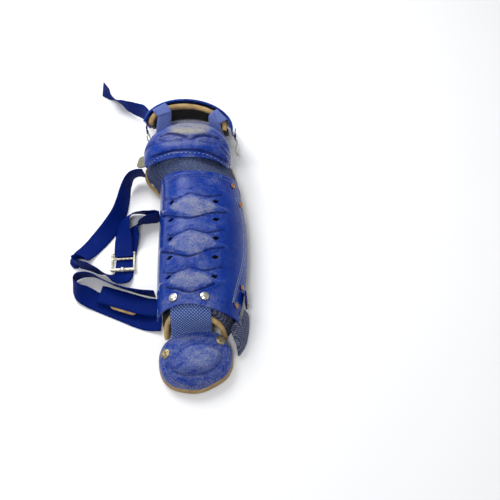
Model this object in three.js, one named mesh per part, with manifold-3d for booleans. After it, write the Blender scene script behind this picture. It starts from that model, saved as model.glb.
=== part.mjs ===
// Catcher's leg guard, lying on its back edges with the shell upward. Millimetres, +Z up.
// +Y runs from the toe to the thigh, +X to the right as seen from the toe.
// The pieces are made about the shin's middle line, and the whole is centred over the origin at the end.
import * as THREE from "three";
import { mergeVertices } from "three/addons/utils/BufferGeometryUtils.js";
import Module from "manifold-3d";

const wasm = await Module();
wasm.setup();

// Sizes.
const CLEARANCE = 0.3; // left between pieces that touch
const SHELL = 3; // moulded plastic
const LEATHER = 2.5;
const PADDING = 8; // foam with its cover
const WEBBING_WIDTH = 32;
const WEBBING_THICK = 1.6;
const ELASTIC_THICK = 2.4;
const WIRE_RADIUS = 1.6;
const RIVET_RADIUS = 7;
const RIVET_HEIGHT = 3;
const SIDE_RIVET_RADIUS = 5;
const HOLE_LENGTH = 15; // vent hole, a rhombus
const HOLE_WIDTH = 8;
const RELIEF = 3; // how far the raised panels of the shin plate stand out

const COLOURS = {
  plastic: 0x2c4aa8,
  fabric: 0x4a5a90,
  webbing: 0x0c1c6e,
  elastic: 0x465ab4,
  leather: 0xc8aa70,
  cream: 0xddd6c0,
  silver: 0xd8d6cc,
  brass: 0x9a8a5c,
  copper: 0xa06a3c,
};

// Helpers.
const V = (x, y, z) => new THREE.Vector3(x, y, z);
const rad = (degrees) => (degrees * Math.PI) / 180;
const lerp = (a, b, t) => a + (b - a) * t;
const smooth = (t) => t * t * (3 - 2 * t);
const bent = (value, power) => Math.sign(value) * Math.abs(value) ** power;
const steps = (n) => Array.from({ length: n + 1 }, (_, i) => i / n);

const group = new THREE.Group();
group.name = "catcher_leg_guard";

// Turns a closed body's faces outward, whichever way its rows and columns ran.
function facingOut(geometry) {
  const p = geometry.getAttribute("position");
  const index = geometry.index.array;
  const corner = (k) => new THREE.Vector3().fromBufferAttribute(p, index[k]);
  let volume = 0;
  for (let k = 0; k < index.length; k += 3) volume += corner(k).dot(corner(k + 1).cross(corner(k + 2)));
  if (volume < 0) {
    for (let k = 0; k < index.length; k += 3) [index[k + 1], index[k + 2]] = [index[k + 2], index[k + 1]];
  }
  return geometry;
}

function add(name, geometry, colour, metalness = 0) {
  facingOut(geometry);
  const material = new THREE.MeshStandardMaterial({ color: colour, metalness, roughness: 0.6 });
  const mesh = new THREE.Mesh(geometry, material);
  mesh.name = name;
  group.add(mesh);
  return mesh;
}

// The value of a named column at `at`, on a smooth curve through the table's rows.
function column(rows, key, at, by = "y") {
  if (at <= rows[0][by]) return rows[0][key];
  const last = rows.length - 1;
  if (at >= rows[last][by]) return rows[last][key];
  const i = rows.findIndex((row, k) => k > 0 && at <= row[by]) - 1;
  const span = rows[i + 1][by] - rows[i][by];
  const slope = (k) => {
    if (k <= 0 || k >= last) return 0;
    return (rows[k + 1][key] - rows[k - 1][key]) / (rows[k + 1][by] - rows[k - 1][by]);
  };
  const t = (at - rows[i][by]) / span;
  const [a, b] = [rows[i][key], rows[i + 1][key]];
  const edge = i === 0 ? (b - a) / span : slope(i);
  const next = i + 1 === last ? (b - a) / span : slope(i + 1);
  const [t2, t3] = [t * t, t * t * t];
  return (
    (2 * t3 - 3 * t2 + 1) * a +
    (t3 - 2 * t2 + t) * span * edge +
    (3 * t2 - 2 * t3) * b +
    (t3 - t2) * span * next
  );
}

function geometryFrom(points, triangles) {
  const geometry = new THREE.BufferGeometry();
  const coordinates = points.flatMap((p) => [p.x, p.y, p.z]);
  geometry.setAttribute("position", new THREE.Float32BufferAttribute(coordinates, 3));
  geometry.setIndex(triangles);
  return geometry;
}

// Normals of a grid of points [row][column]; they point up for rows along +Y and columns along +X.
function gridNormals(grid) {
  const [rows, cols] = [grid.length, grid[0].length];
  return grid.map((line, i) =>
    line.map((_, j) => {
      const along = grid[Math.min(i + 1, rows - 1)][j].clone().sub(grid[Math.max(i - 1, 0)][j]);
      const across = grid[i][Math.min(j + 1, cols - 1)].clone().sub(grid[i][Math.max(j - 1, 0)]);
      return across.cross(along).normalize();
    }),
  );
}

// The grid moved inwards by a thickness, which may be a function of row and column.
function inward(grid, thickness) {
  const normals = gridNormals(grid);
  const depth = typeof thickness === "function" ? thickness : () => thickness;
  return grid.map((line, i) => line.map((p, j) => p.clone().addScaledVector(normals[i][j], -depth(i, j))));
}

// A closed wall between an outer and an inner grid of the same size.
function wall(outer, inner) {
  const [rows, cols] = [outer.length, outer[0].length];
  const points = [...outer.flat(), ...inner.flat()];
  const shift = rows * cols;
  const triangles = [];
  const quad = (a, b, c, d) => triangles.push(a, b, c, a, c, d);
  const at = (i, j) => i * cols + j;
  for (let i = 0; i + 1 < rows; i++) {
    for (let j = 0; j + 1 < cols; j++) {
      quad(at(i, j), at(i, j + 1), at(i + 1, j + 1), at(i + 1, j));
      quad(at(i, j) + shift, at(i + 1, j) + shift, at(i + 1, j + 1) + shift, at(i, j + 1) + shift);
    }
    quad(at(i, 0), at(i + 1, 0), at(i + 1, 0) + shift, at(i, 0) + shift);
    quad(at(i + 1, cols - 1), at(i, cols - 1), at(i, cols - 1) + shift, at(i + 1, cols - 1) + shift);
  }
  for (let j = 0; j + 1 < cols; j++) {
    quad(at(0, j + 1), at(0, j), at(0, j) + shift, at(0, j + 1) + shift);
    quad(at(rows - 1, j), at(rows - 1, j + 1), at(rows - 1, j + 1) + shift, at(rows - 1, j) + shift);
  }
  return geometryFrom(points, triangles);
}

// A closed body through rings of points, each with the same number, the first and last closed flat.
function loft(rings) {
  const n = rings[0].length;
  const points = rings.flat();
  const triangles = [];
  for (let i = 0; i + 1 < rings.length; i++) {
    for (let j = 0; j < n; j++) {
      const [a, b] = [i * n + j, i * n + ((j + 1) % n)];
      triangles.push(a, b, b + n, a, b + n, a + n);
    }
  }
  const last = (rings.length - 1) * n;
  for (let j = 1; j + 1 < n; j++) {
    triangles.push(0, j + 1, j);
    triangles.push(last, last + j, last + j + 1);
  }
  return geometryFrom(points, triangles);
}

// A round bar along a path; `radius` may be a function of the share of the path.
function bar(path, radius, sides = 8, each = 2, closed = false) {
  const curve = new THREE.CatmullRomCurve3(path, closed, "centripetal");
  const count = Math.round(path.length * each);
  const frames = curve.computeFrenetFrames(count, closed);
  const size = typeof radius === "function" ? radius : () => radius;
  const rings = [];
  for (let i = 0; i <= (closed ? count - 1 : count); i++) {
    const centre = curve.getPointAt(i / count);
    rings.push(
      steps(sides - 1).map((_, k) => {
        const turn = (2 * Math.PI * k) / sides;
        const r = size(i / count);
        return centre
          .clone()
          .addScaledVector(frames.normals[i], r * Math.cos(turn))
          .addScaledVector(frames.binormals[i], r * Math.sin(turn));
      }),
    );
  }
  if (!closed) return loft(rings);
  const points = rings.flat();
  const triangles = [];
  for (let i = 0; i < rings.length; i++) {
    const next = ((i + 1) % rings.length) * sides;
    for (let k = 0; k < sides; k++) {
      const [a, b] = [i * sides + k, i * sides + ((k + 1) % sides)];
      const [c, d] = [next + ((k + 1) % sides), next + k];
      triangles.push(a, b, c, a, c, d);
    }
  }
  return geometryFrom(points, triangles);
}

// Webbing through rows of {x, y, z, turn, lift}: turn is the plan direction of its width,
// lift how far that side of it is raised, in degrees.
function webbing(rows, each = 4, width = WEBBING_WIDTH, thick = WEBBING_THICK) {
  const centres = new THREE.CatmullRomCurve3(rows.map((r) => V(r.x, r.y, r.z)), false, "centripetal");
  const sides = rows.map((r) =>
    V(
      Math.cos(rad(r.lift)) * Math.cos(rad(r.turn)),
      Math.cos(rad(r.lift)) * Math.sin(rad(r.turn)),
      Math.sin(rad(r.lift)),
    ),
  );
  const count = (rows.length - 1) * each;
  const rings = [];
  for (let i = 0; i <= count; i++) {
    const t = i / count;
    const k = Math.min(Math.floor(t * (rows.length - 1)), rows.length - 2);
    const centre = centres.getPoint(t);
    const along = centres.getTangent(t);
    const side = sides[k].clone().lerp(sides[k + 1], smooth(t * (rows.length - 1) - k));
    side.addScaledVector(along, -side.dot(along)).normalize();
    const up = side.clone().cross(along).normalize();
    const corner = (a, b) =>
      centre.clone().addScaledVector(side, (a * width) / 2).addScaledVector(up, (b * thick) / 2);
    rings.push([corner(-1, -1), corner(1, -1), corner(1, 1), corner(-1, 1)]);
  }
  return loft(rings);
}

function solid(geometry) {
  const plain = geometry.clone();
  plain.deleteAttribute("normal");
  plain.deleteAttribute("uv");
  const merged = mergeVertices(plain, 1e-4);
  const mesh = new wasm.Mesh({
    numProp: 3,
    vertProperties: new Float32Array(merged.attributes.position.array),
    triVerts: new Uint32Array(merged.index.array),
  });
  return new wasm.Manifold(mesh);
}

function back(manifold) {
  const mesh = manifold.getMesh();
  const geometry = new THREE.BufferGeometry();
  geometry.setAttribute("position", new THREE.Float32BufferAttribute(mesh.vertProperties, 3));
  geometry.setIndex(Array.from(mesh.triVerts));
  return geometry;
}

// A geometry drawn about the origin with its own +Z, moved to a point so that +Z follows a direction.
function placed(geometry, point, direction, spin = 0) {
  const turn = new THREE.Quaternion().setFromUnitVectors(V(0, 0, 1), direction.clone().normalize());
  const about = new THREE.Quaternion().setFromAxisAngle(V(0, 0, 1), spin);
  geometry.applyQuaternion(about);
  geometry.applyQuaternion(turn);
  geometry.translate(point.x, point.y, point.z);
  return geometry;
}

// A domed rivet head on a surface.
function rivet(name, point, normal, radius, colour) {
  const profile = [
    [0, 0],
    [1, 0],
    [1, 0.3],
    [0.6, 0.9],
    [0, 1],
  ].map(([r, h]) => new THREE.Vector2(r * radius, h * RIVET_HEIGHT));
  const head = new THREE.LatheGeometry(profile, 8);
  head.rotateX(Math.PI / 2);
  // A flat head on a rounded surface stands off by the surface's fall under its rim.
  const seat = point.clone().addScaledVector(normal, CLEARANCE + radius ** 2 / 95);
  add(name, back(solid(placed(head, seat, normal))), colour, 0.9);
}

// Shin: stations along the leg.
// middle and half: plan position and half width; crown: height of the ridge; rim: height of the side edges.
const SHIN = [
  { y: -152, middle: 3, half: 70, crown: 92, rim: 46 },
  { y: -90, middle: 5, half: 75, crown: 98, rim: 34 },
  { y: -30, middle: 5, half: 77, crown: 103, rim: 32 },
  { y: 30, middle: 4, half: 76, crown: 106, rim: 40 },
  { y: 80, middle: 0, half: 74, crown: 107, rim: 54 },
  { y: 112, middle: -4, half: 72, crown: 106, rim: 62 },
];
const SHIN_RIDGE_SHIFT = -13; // the ridge stands left of the middle
const SHIN_ROUND = 0.86; // 1 is an ellipse, less is squarer

// A point of the shin's section at a station; share runs from -1 at the left edge to 1 at the right.
// `base` is the height where the section's sides stand upright.
function shinPoint(y, share, base = 12) {
  const angle = share * (Math.PI / 2);
  const middle = column(SHIN, "middle", y);
  const x = middle + column(SHIN, "half", y) * bent(Math.sin(angle), SHIN_ROUND);
  const z = base + (column(SHIN, "crown", y) - base) * Math.abs(Math.cos(angle)) ** SHIN_ROUND;
  return V(x + SHIN_RIDGE_SHIFT * Math.cos(angle) ** 2, y, z);
}

// The share at which the section passes a distance from the ridge, or a height on one side.
function shareWhere(test) {
  let [low, high] = [0, 1];
  for (let i = 0; i < 40; i++) {
    const mid = (low + high) / 2;
    if (test(mid)) high = mid;
    else low = mid;
  }
  return (low + high) / 2;
}
const ridgeX = (y) => column(SHIN, "middle", y) + SHIN_RIDGE_SHIFT;
const shareAt = (distance) => {
  const side = Math.sign(distance);
  return side * shareWhere((s) => Math.abs(shinPoint(-30, side * s).x - ridgeX(-30)) > Math.abs(distance));
};
const rimShare = (y, side) => side * shareWhere((s) => shinPoint(y, side * s).z < column(SHIN, "rim", y));

// Lines of the relief: y on the ridge and at distances from it, and how far the plate stands out there.
const LINES = [
  { at0: -149, at13: -150, at26: -152, at40: -154, at54: -156, raised: 0 },
  { at0: -141, at13: -142, at26: -143, at40: -144, at54: -145, raised: 0 },
  { at0: -134, at13: -132, at26: -127, at40: -120, at54: -113, raised: 0 },
  { at0: -130, at13: -128, at26: -123, at40: -116, at54: -109, raised: 1 },
  { at0: -108, at13: -108, at26: -109, at40: -112, at54: -107, raised: 1.25 },
  { at0: -88, at13: -92, at26: -98, at40: -109, at54: -105, raised: 1 },
  { at0: -84, at13: -88, at26: -94, at40: -105, at54: -102, raised: 0 },
  { at0: -80, at13: -84, at26: -88, at40: -84, at54: -78, raised: 0.3 },
  { at0: -71, at13: -68, at26: -63, at40: -58, at54: -52, raised: 0 },
  { at0: -67, at13: -64, at26: -59, at40: -54, at54: -48, raised: 1 },
  { at0: -43, at13: -43, at26: -43, at40: -49, at54: -46, raised: 1.25 },
  { at0: -20, at13: -23, at26: -31, at40: -44, at54: -43, raised: 1 },
  { at0: -16, at13: -19, at26: -27, at40: -40, at54: -40, raised: 0 },
  { at0: -12, at13: -15, at26: -19, at40: -17, at54: -10, raised: 0.3 },
  { at0: -3, at13: 1, at26: 6, at40: 11, at54: 17, raised: 0 },
  { at0: 1, at13: 5, at26: 10, at40: 15, at54: 21, raised: 1 },
  { at0: 24, at13: 25, at26: 25, at40: 20, at54: 23, raised: 1.25 },
  { at0: 48, at13: 45, at26: 38, at40: 25, at54: 26, raised: 1 },
  { at0: 52, at13: 49, at26: 42, at40: 29, at54: 29, raised: 0 },
  { at0: 56, at13: 53, at26: 49, at40: 51, at54: 56, raised: 0.3 },
  { at0: 68, at13: 66, at26: 63, at40: 65, at54: 69, raised: 0.2 },
  { at0: 80, at13: 80, at26: 80, at40: 81, at54: 84, raised: 0 },
  { at0: 89, at13: 89, at26: 89.5, at40: 90, at54: 93, raised: 0 },
  { at0: 93, at13: 93, at26: 93.5, at40: 94.5, at54: 97, raised: 0.5 },
];
const LINE_KEYS = [
  [0, "at0"],
  [13, "at13"],
  [26, "at26"],
  [40, "at40"],
  [54, "at54"],
];
const RELIEF_END = 54; // the relief fades out past this distance from the ridge
const DISTANCES = [0, 6.5, 13, 19.5, 26, 33, 40, 47, 53, 57];
const WALL_STEPS = 3; // rows of facets on each side wall

function lineY(line, distance) {
  const d = Math.min(Math.abs(distance), RELIEF_END);
  const i = Math.min(LINE_KEYS.findIndex(([at], k) => k > 0 && d <= at), LINE_KEYS.length - 1);
  const [[from, a], [to, b]] = [LINE_KEYS[i - 1], LINE_KEYS[i]];
  return lerp(line[a], line[b], smooth((d - from) / (to - from)) * 0.5 + ((d - from) / (to - from)) * 0.5);
}

// Shares of the section for the plate's columns at one line: even over the relief, then down to the rim.
function plateShares(y, side) {
  const inner = DISTANCES.map((d) => shareAt(side * d));
  const last = inner[inner.length - 1];
  const rim = rimShare(y, side);
  const walls = steps(WALL_STEPS).slice(1).map((t) => lerp(last, rim, t));
  return [...inner, ...walls];
}

function plateGrid() {
  return LINES.map((line) => {
    const half = (side) =>
      plateShares(line.at54, side).map((share, k) => {
        const distance = DISTANCES[Math.min(k, DISTANCES.length - 1)];
        const down = Math.max(0, k - DISTANCES.length + 1) / WALL_STEPS;
        const edge = line.at54 > 60 ? 9 * down : line.at54 < -140 ? -3 * down : 0;
        const y = lineY(line, distance) + edge;
        const point = shinPoint(y, share);
        const fade = distance <= 47 ? 1 : distance <= 53 ? 0.6 : 0;
        return { point, lift: line.raised * RELIEF * fade };
      });
    return [...half(-1).reverse(), ...half(1).slice(1)];
  });
}

function shinPlate() {
  const plan = plateGrid();
  const base = plan.map((line) => line.map((c) => c.point));
  const normals = gridNormals(base);
  const outer = base.map((line, i) =>
    line.map((p, j) => p.clone().addScaledVector(normals[i][j], plan[i][j].lift)),
  );
  const inner = base.map((line, i) => line.map((p, j) => p.clone().addScaledVector(normals[i][j], -SHELL)));
  return wall(outer, inner);
}

// Vent holes: a rhombus on each side of the ridge at each of these stations.
const HOLE_STATIONS = [36, 2, -33, -67, -101];
const HOLE_DISTANCE = 37.5;
const HOLE_SPIN = { left: 0.1, right: 0.35 };
function ventHole(y, side) {
  const share = shareAt(side * HOLE_DISTANCE);
  const point = shinPoint(y, share);
  const normal = sectionNormal(y, share);
  const outline = new THREE.Shape();
  outline.moveTo(-HOLE_LENGTH / 2, 0);
  outline.lineTo(0, -HOLE_WIDTH / 2);
  outline.lineTo(HOLE_LENGTH / 2, 0);
  outline.lineTo(0, HOLE_WIDTH / 2);
  outline.closePath();
  const cut = new THREE.ExtrudeGeometry(outline, { depth: 24, bevelEnabled: false });
  cut.translate(0, 0, -12);
  return solid(placed(cut, point, normal, side < 0 ? HOLE_SPIN.left : HOLE_SPIN.right));
}

function sectionNormal(y, share) {
  const across = shinPoint(y, share + 0.01).sub(shinPoint(y, share - 0.01));
  return V(-across.z, 0, across.x).normalize();
}

let plate = solid(shinPlate());
for (const y of HOLE_STATIONS) {
  for (const side of [-1, 1]) {
    const hole = ventHole(y, side);
    plate = plate.subtract(hole);
  }
}
add("shin_plate", back(plate), COLOURS.plastic);

// Shin liner: padding inside the plate, down to the floor.
// inset: how far its outer face lies inside the plate's outer face; swept: how far its sides reach
// further towards the toe than its crown; shift: sideways.
const LINER = [
  { y: -150, inset: 18, swept: 16, shift: -6 },
  { y: -141, inset: 12, swept: 11, shift: -3 },
  { y: -118, inset: 8.2, swept: 3, shift: 0 },
  { y: -106, inset: 3.5, swept: 0, shift: 0 },
  { y: -50, inset: 3.5, swept: 0, shift: 0 },
  { y: 10, inset: 3.5, swept: 0, shift: 0 },
  { y: 74, inset: 3.5, swept: 0, shift: 0 },
];
const LINER_SHARES = steps(18).map((t) => t * 2 - 1);
function linerPoint(row, share, deeper = 0) {
  const y = row.y;
  const p = shinPoint(y, share, 0);
  const across = shinPoint(y, Math.min(share + 0.02, 1), 0).sub(shinPoint(y, Math.max(share - 0.02, -1), 0));
  p.addScaledVector(V(-across.z, 0, across.x).normalize(), -row.inset - deeper);
  return V(p.x + row.shift, y - row.swept * share ** 2, Math.max(p.z, 0));
}
const linerGrid = (deeper) => LINER.map((row) => LINER_SHARES.map((share) => linerPoint(row, share, deeper)));
add("shin_liner", wall(linerGrid(0), linerGrid(PADDING)), COLOURS.leather);

// The rolled leather edge round the ankle opening, just past the liner's end.
const ANKLE_ROLL_RADIUS = 5;
const ankleRoll = LINER_SHARES.filter((_, k) => k % 2 === 0).map((share) => {
  const p = linerPoint(LINER[0], share * 0.985, PADDING / 2);
  return V(p.x, p.y - ANKLE_ROLL_RADIUS - CLEARANCE, Math.max(p.z, ANKLE_ROLL_RADIUS + 0.2));
});
add("ankle_roll", bar(ankleRoll, ANKLE_ROLL_RADIUS, 8, 1.5), COLOURS.leather);

// Ankle wing: a padded flap on the right, past the plate's end.
// low: x of its floor edge; top and rise: x and height of its upper edge.
const ANKLE_WING = [
  { y: -132, low: 83, top: 75, rise: 43 },
  { y: -146, low: 83, top: 73, rise: 45.2 },
  { y: -160, low: 83, top: 56, rise: 40 },
  { y: -168, low: 82, top: 53, rise: 39 },
  { y: -177, low: 81, top: 54, rise: 37 },
  { y: -188, low: 77, top: 60, rise: 30 },
  { y: -197, low: 72, top: 63.4, rise: 17 },
  { y: -202, low: 68.4, top: 63.4, rise: 9 },
];
const WING_THICK = 6;
function wingPoint(row, t, deeper = 0) {
  const angle = (t * Math.PI) / 2;
  const across = row.low - row.top;
  const thin = Math.min(deeper, 0.75 * across, 0.75 * row.rise);
  const x = row.top + (across - thin) * Math.sin(angle);
  return V(x, row.y, t === 1 ? 0 : (row.rise - thin) * Math.cos(angle));
}
const wingGrid = (deeper) =>
  ANKLE_WING.map((row) => steps(6).map((t) => wingPoint(row, t, deeper))).reverse();
add("ankle_wing", wall(wingGrid(0), wingGrid(WING_THICK)), COLOURS.fabric);

// Knee cap: a dome whose rows fan about a cross axis.
const KNEE_AXIS = V(-26, 153, 45);
// fan: the row's angle at the crown; edge: its angle at the sides; half: half width;
// crown and side: distances from the axis.
const KNEE = [
  { fan: -27, edge: -62, half: 73, crown: 72, side: 15, gull: 0, raised: 0 },
  { fan: -22, edge: -55, half: 75, crown: 72.5, side: 16, gull: 0, raised: 0 },
  { fan: -17.5, edge: -48, half: 76, crown: 73, side: 17, gull: 0, raised: 0 },
  { fan: -15, edge: -43, half: 76.5, crown: 73, side: 17, gull: 0, raised: 0.8 },
  { fan: -8, edge: -32, half: 77, crown: 73, side: 17, gull: 1, raised: 0.8 },
  { fan: -1, edge: -20, half: 77, crown: 73, side: 17, gull: 3, raised: 0.5 },
  { fan: 2.5, edge: -13, half: 77, crown: 73, side: 17, gull: 5, raised: 0.1 },
  { fan: 5, edge: -9, half: 77, crown: 73, side: 17, gull: 6, raised: 1.4 },
  { fan: 13, edge: 3, half: 76, crown: 73, side: 17, gull: 3, raised: 1.6 },
  { fan: 23, edge: 18, half: 73, crown: 73, side: 17, gull: 0, raised: 1.4 },
  { fan: 33, edge: 32, half: 69, crown: 73, side: 17, gull: 0, raised: 1.2 },
  { fan: 43, edge: 44, half: 63, crown: 73, side: 17, gull: 0, raised: 0.9 },
  { fan: 53, edge: 54, half: 55, crown: 72.5, side: 18, gull: 0, raised: 0.5 },
  { fan: 63, edge: 63, half: 45, crown: 72, side: 22, gull: 0, raised: 0 },
];
const KNEE_COLUMNS = 20;
const KNEE_RELIEF = 3;
const KNEE_HUMP = 0.5; // the two humps of the upper ridge reach from the middle to this share

function kneePoint(row, share, shrink = 0) {
  const angle = share * (Math.PI / 2);
  const hump = Math.sin(Math.PI * Math.min(Math.abs(share) / KNEE_HUMP, 1)) ** 2;
  const fan = rad(lerp(row.fan, row.edge, Math.abs(share) ** 2.2) + row.gull * hump);
  const reach = row.side + (row.crown - shrink - row.side) * Math.abs(Math.cos(angle)) ** 0.8;
  const x = KNEE_AXIS.x + (row.half - shrink) * bent(Math.sin(angle), 0.85);
  return V(
    x + 8 * Math.cos(angle) ** 2,
    KNEE_AXIS.y + reach * Math.sin(fan),
    KNEE_AXIS.z + reach * Math.cos(fan),
  );
}

function kneeCap() {
  const shares = steps(KNEE_COLUMNS).map((t) => t * 2 - 1);
  const base = KNEE.map((row) => shares.map((s) => kneePoint(row, s)));
  const normals = gridNormals(base);
  const outer = base.map((line, i) =>
    line.map((p, j) => {
      const fade = 1 - smooth(Math.max(0, Math.abs(shares[j]) - 0.55) / 0.45);
      return p.clone().addScaledVector(normals[i][j], KNEE[i].raised * KNEE_RELIEF * fade);
    }),
  );
  const inner = base.map((line, i) => line.map((p, j) => p.clone().addScaledVector(normals[i][j], -SHELL)));
  return wall(outer, inner);
}
add("knee_cap", kneeCap(), COLOURS.plastic);

// Toe cap: rings from its outline in to a raised oval.
const TOE_CENTRE = V(-1, -214, 0);
const TOE_TURN = 10; // degrees, its right end further from the toe
// Plan outline from its centre: angle round it, reach there, and how much the edge curls down.
const TOE_OUTLINE = [
  { a: -180, reach: 60, curl: 1 },
  { a: -150, reach: 58, curl: 1 },
  { a: -120, reach: 50, curl: 1 },
  { a: -90, reach: 48, curl: 1 },
  { a: -60, reach: 48, curl: 1 },
  { a: -30, reach: 56, curl: 1 },
  { a: 0, reach: 59, curl: 1 },
  { a: 22, reach: 60, curl: 0.7 },
  { a: 38, reach: 56, curl: 0.2 },
  { a: 55, reach: 45, curl: 0.1 },
  { a: 90, reach: 37, curl: 0 },
  { a: 125, reach: 45, curl: 0.1 },
  { a: 142, reach: 56, curl: 0.2 },
  { a: 158, reach: 60, curl: 0.7 },
  { a: 180, reach: 60, curl: 1 },
];
const TOE_SEGMENTS = 28;
const TOE_OVAL = { x: 1, y: -6, across: 41, along: 23, turn: 4 };
// from: 1 on the outline, 0 on the oval; scale: of the oval inside it; rise: above the plain dome.
const TOE_RINGS = [
  { from: 1, scale: 1, rise: -9 },
  { from: 0.9, scale: 1, rise: -3.5 },
  { from: 0.72, scale: 1, rise: -0.5 },
  { from: 0.3, scale: 1, rise: 0 },
  { from: 0, scale: 1.04, rise: 0 },
  { from: 0, scale: 0.9, rise: 5 },
  { from: 0, scale: 0.75, rise: 6.5 },
  { from: 0, scale: 0.4, rise: 7 },
];
const TOE_TOP = 44.5;
const toeDome = (x, y) => TOE_TOP - 0.005 * x * x - (y < 0 ? 0.0085 : 0.0005) * y * y;

function toeRing(ring, grow, drop) {
  return steps(TOE_SEGMENTS - 1).map((_, k) => {
    const a = rad(-180 + (360 * k) / TOE_SEGMENTS);
    const reach = column(TOE_OUTLINE, "reach", (a * 180) / Math.PI, "a") + grow;
    const edge = V(reach * Math.cos(a), reach * Math.sin(a), 0);
    const oval = V(TOE_OVAL.across * ring.scale * Math.cos(a), TOE_OVAL.along * ring.scale * Math.sin(a), 0);
    oval.applyAxisAngle(V(0, 0, 1), rad(TOE_OVAL.turn)).add(V(TOE_OVAL.x, TOE_OVAL.y, 0));
    const p = oval.lerp(edge, ring.from);
    const curl = ring.rise < 0 ? column(TOE_OUTLINE, "curl", (a * 180) / Math.PI, "a") : 1;
    const z = Math.max(0, toeDome(p.x, p.y) + ring.rise * curl - drop);
    return p.applyAxisAngle(V(0, 0, 1), rad(TOE_TURN)).add(V(TOE_CENTRE.x, TOE_CENTRE.y, z));
  });
}

// A closed body between the cap's rings at two depths below its top.
function toeBody(rings, grow, upper, lower) {
  const top = rings.map((ring) => toeRing(ring, grow, upper));
  const under = rings.map((ring) => toeRing(ring, grow, lower));
  return loft([...under.reverse(), ...top]);
}
add("toe_cap", toeBody(TOE_RINGS, 0, 0, SHELL), COLOURS.plastic);

// The leather pad under it shows past the cap's edge and rests on the floor.
const TOE_PAD_GROW = 1;
const TOE_PAD_DROP = SHELL + ELASTIC_THICK + 3;
const padRings = [
  { from: 1, scale: 1, rise: -9 },
  { from: 0.8, scale: 1, rise: -2 },
  { from: 0.2, scale: 1, rise: 0 },
  { from: 0, scale: 0.4, rise: 0 },
];
const toePad = toeBody(padRings, TOE_PAD_GROW, TOE_PAD_DROP, TOE_PAD_DROP + PADDING);
toePad.translate(0, -TOE_PAD_GROW, 0);
add("toe_pad", toePad, COLOURS.leather);

// Instep elastic: from under the plate's lower end to under the toe cap.
const INSTEP_WIDTH = 64;
// bow: how fast its sides fall away; skew: how far its right side lies ahead of its left;
// the last rows lie under the toe cap and follow its inner face.
const INSTEP = [
  { y: -123, z: 89.6, bow: 0.0056, skew: 0 },
  { y: -135, z: 88, bow: 0.0056, skew: 0 },
  { y: -150, z: 85.6, bow: 0.0052, skew: 0 },
  { y: -158, z: 82, bow: 0.0045, skew: 0.02 },
  { y: -166, z: 72, bow: 0.0032, skew: 0.05 },
  { y: -171, z: 56, bow: 0.0026, skew: 0.1 },
];
const INSTEP_UNDER = [
  { y: -176, skew: 0.2 },
  { y: -183, skew: 0.2 },
  { y: -192, skew: 0.2 },
];
const INSTEP_X = -8;
const across = (t) => (t - 0.5) * INSTEP_WIDTH;
const instepRow = (row) =>
  steps(6).map((t) =>
    V(INSTEP_X + across(t), row.y + row.skew * across(t), row.z - row.bow * across(t) ** 2),
  );
const underRow = (row) =>
  steps(6).map((t) => {
    const p = V(INSTEP_X + across(t), row.y + row.skew * across(t), 0);
    const own = p.clone().sub(TOE_CENTRE).applyAxisAngle(V(0, 0, 1), rad(-TOE_TURN));
    p.z = toeDome(own.x, own.y) - SHELL - 1.6;
    return p;
  });
const instepGrid = [...INSTEP.map(instepRow), ...INSTEP_UNDER.map(underRow)].reverse();
add("instep_band", wall(instepGrid, inward(instepGrid, ELASTIC_THICK)), COLOURS.elastic);

// Knee band: padded cloth between the knee cap and the shin plate.
// flare: how far its rims stand out beyond the half width; base: height of the rims.
const KNEE_BAND = [
  { y: 79, middle: -1, half: 67, crown: 101, flare: 0, base: 12 },
  { y: 98, middle: -2, half: 65, crown: 101, flare: 6, base: 14 },
  { y: 112, middle: -10, half: 64, crown: 103, flare: 12, base: 19 },
  { y: 124, middle: -18, half: 65, crown: 105.5, flare: 16, base: 23 },
  { y: 136, middle: -23, half: 64, crown: 107, flare: 18, base: 28 },
  { y: 150, middle: -25, half: 62, crown: 107, flare: 16, base: 36 },
  { y: 164, middle: -25, half: 55, crown: 101.5, flare: 8, base: 45 },
];
const BAND_THICK = 6;
const BAND_SHARES = steps(18).map((t) => t * 2 - 1);
function bandPoint(row, share) {
  const angle = share * (Math.PI / 2);
  const flare = row.flare * bent(share, 6);
  const x = row.middle - 8 * Math.cos(angle) ** 2 + row.half * bent(Math.sin(angle), SHIN_ROUND) + flare;
  return V(x, row.y, row.base + (row.crown - row.base) * Math.abs(Math.cos(angle)) ** SHIN_ROUND);
}
const bandOuter = KNEE_BAND.map((row) => BAND_SHARES.map((share) => bandPoint(row, share)));
const bandInner = inward(bandOuter, BAND_THICK);
bandInner.forEach((line, i) => {
  for (const j of [0, line.length - 1]) {
    const side = j === 0 ? 1 : -1;
    line[j] = V(bandOuter[i][j].x + side * BAND_THICK, bandOuter[i][j].y, bandOuter[i][j].z);
  }
});
add("knee_band", wall(bandOuter, bandInner), COLOURS.fabric);

// Leather bindings along the two rims of the knee band.
const BINDING_RADIUS = 3.4;
for (const side of [-1, 1]) {
  const j = side < 0 ? 0 : BAND_SHARES.length - 1;
  const path = bandOuter.slice(0, 6).map((line, i) =>
    line[j].clone().add(bandInner[i][j]).multiplyScalar(0.5).add(V(0, 0, -BINDING_RADIUS - 2 * CLEARANCE)),
  );
  const binding = side < 0 ? "knee_binding_left" : "knee_binding_right";
  add(binding, bar(path, BINDING_RADIUS, 6, 2), COLOURS.leather);
}

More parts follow.
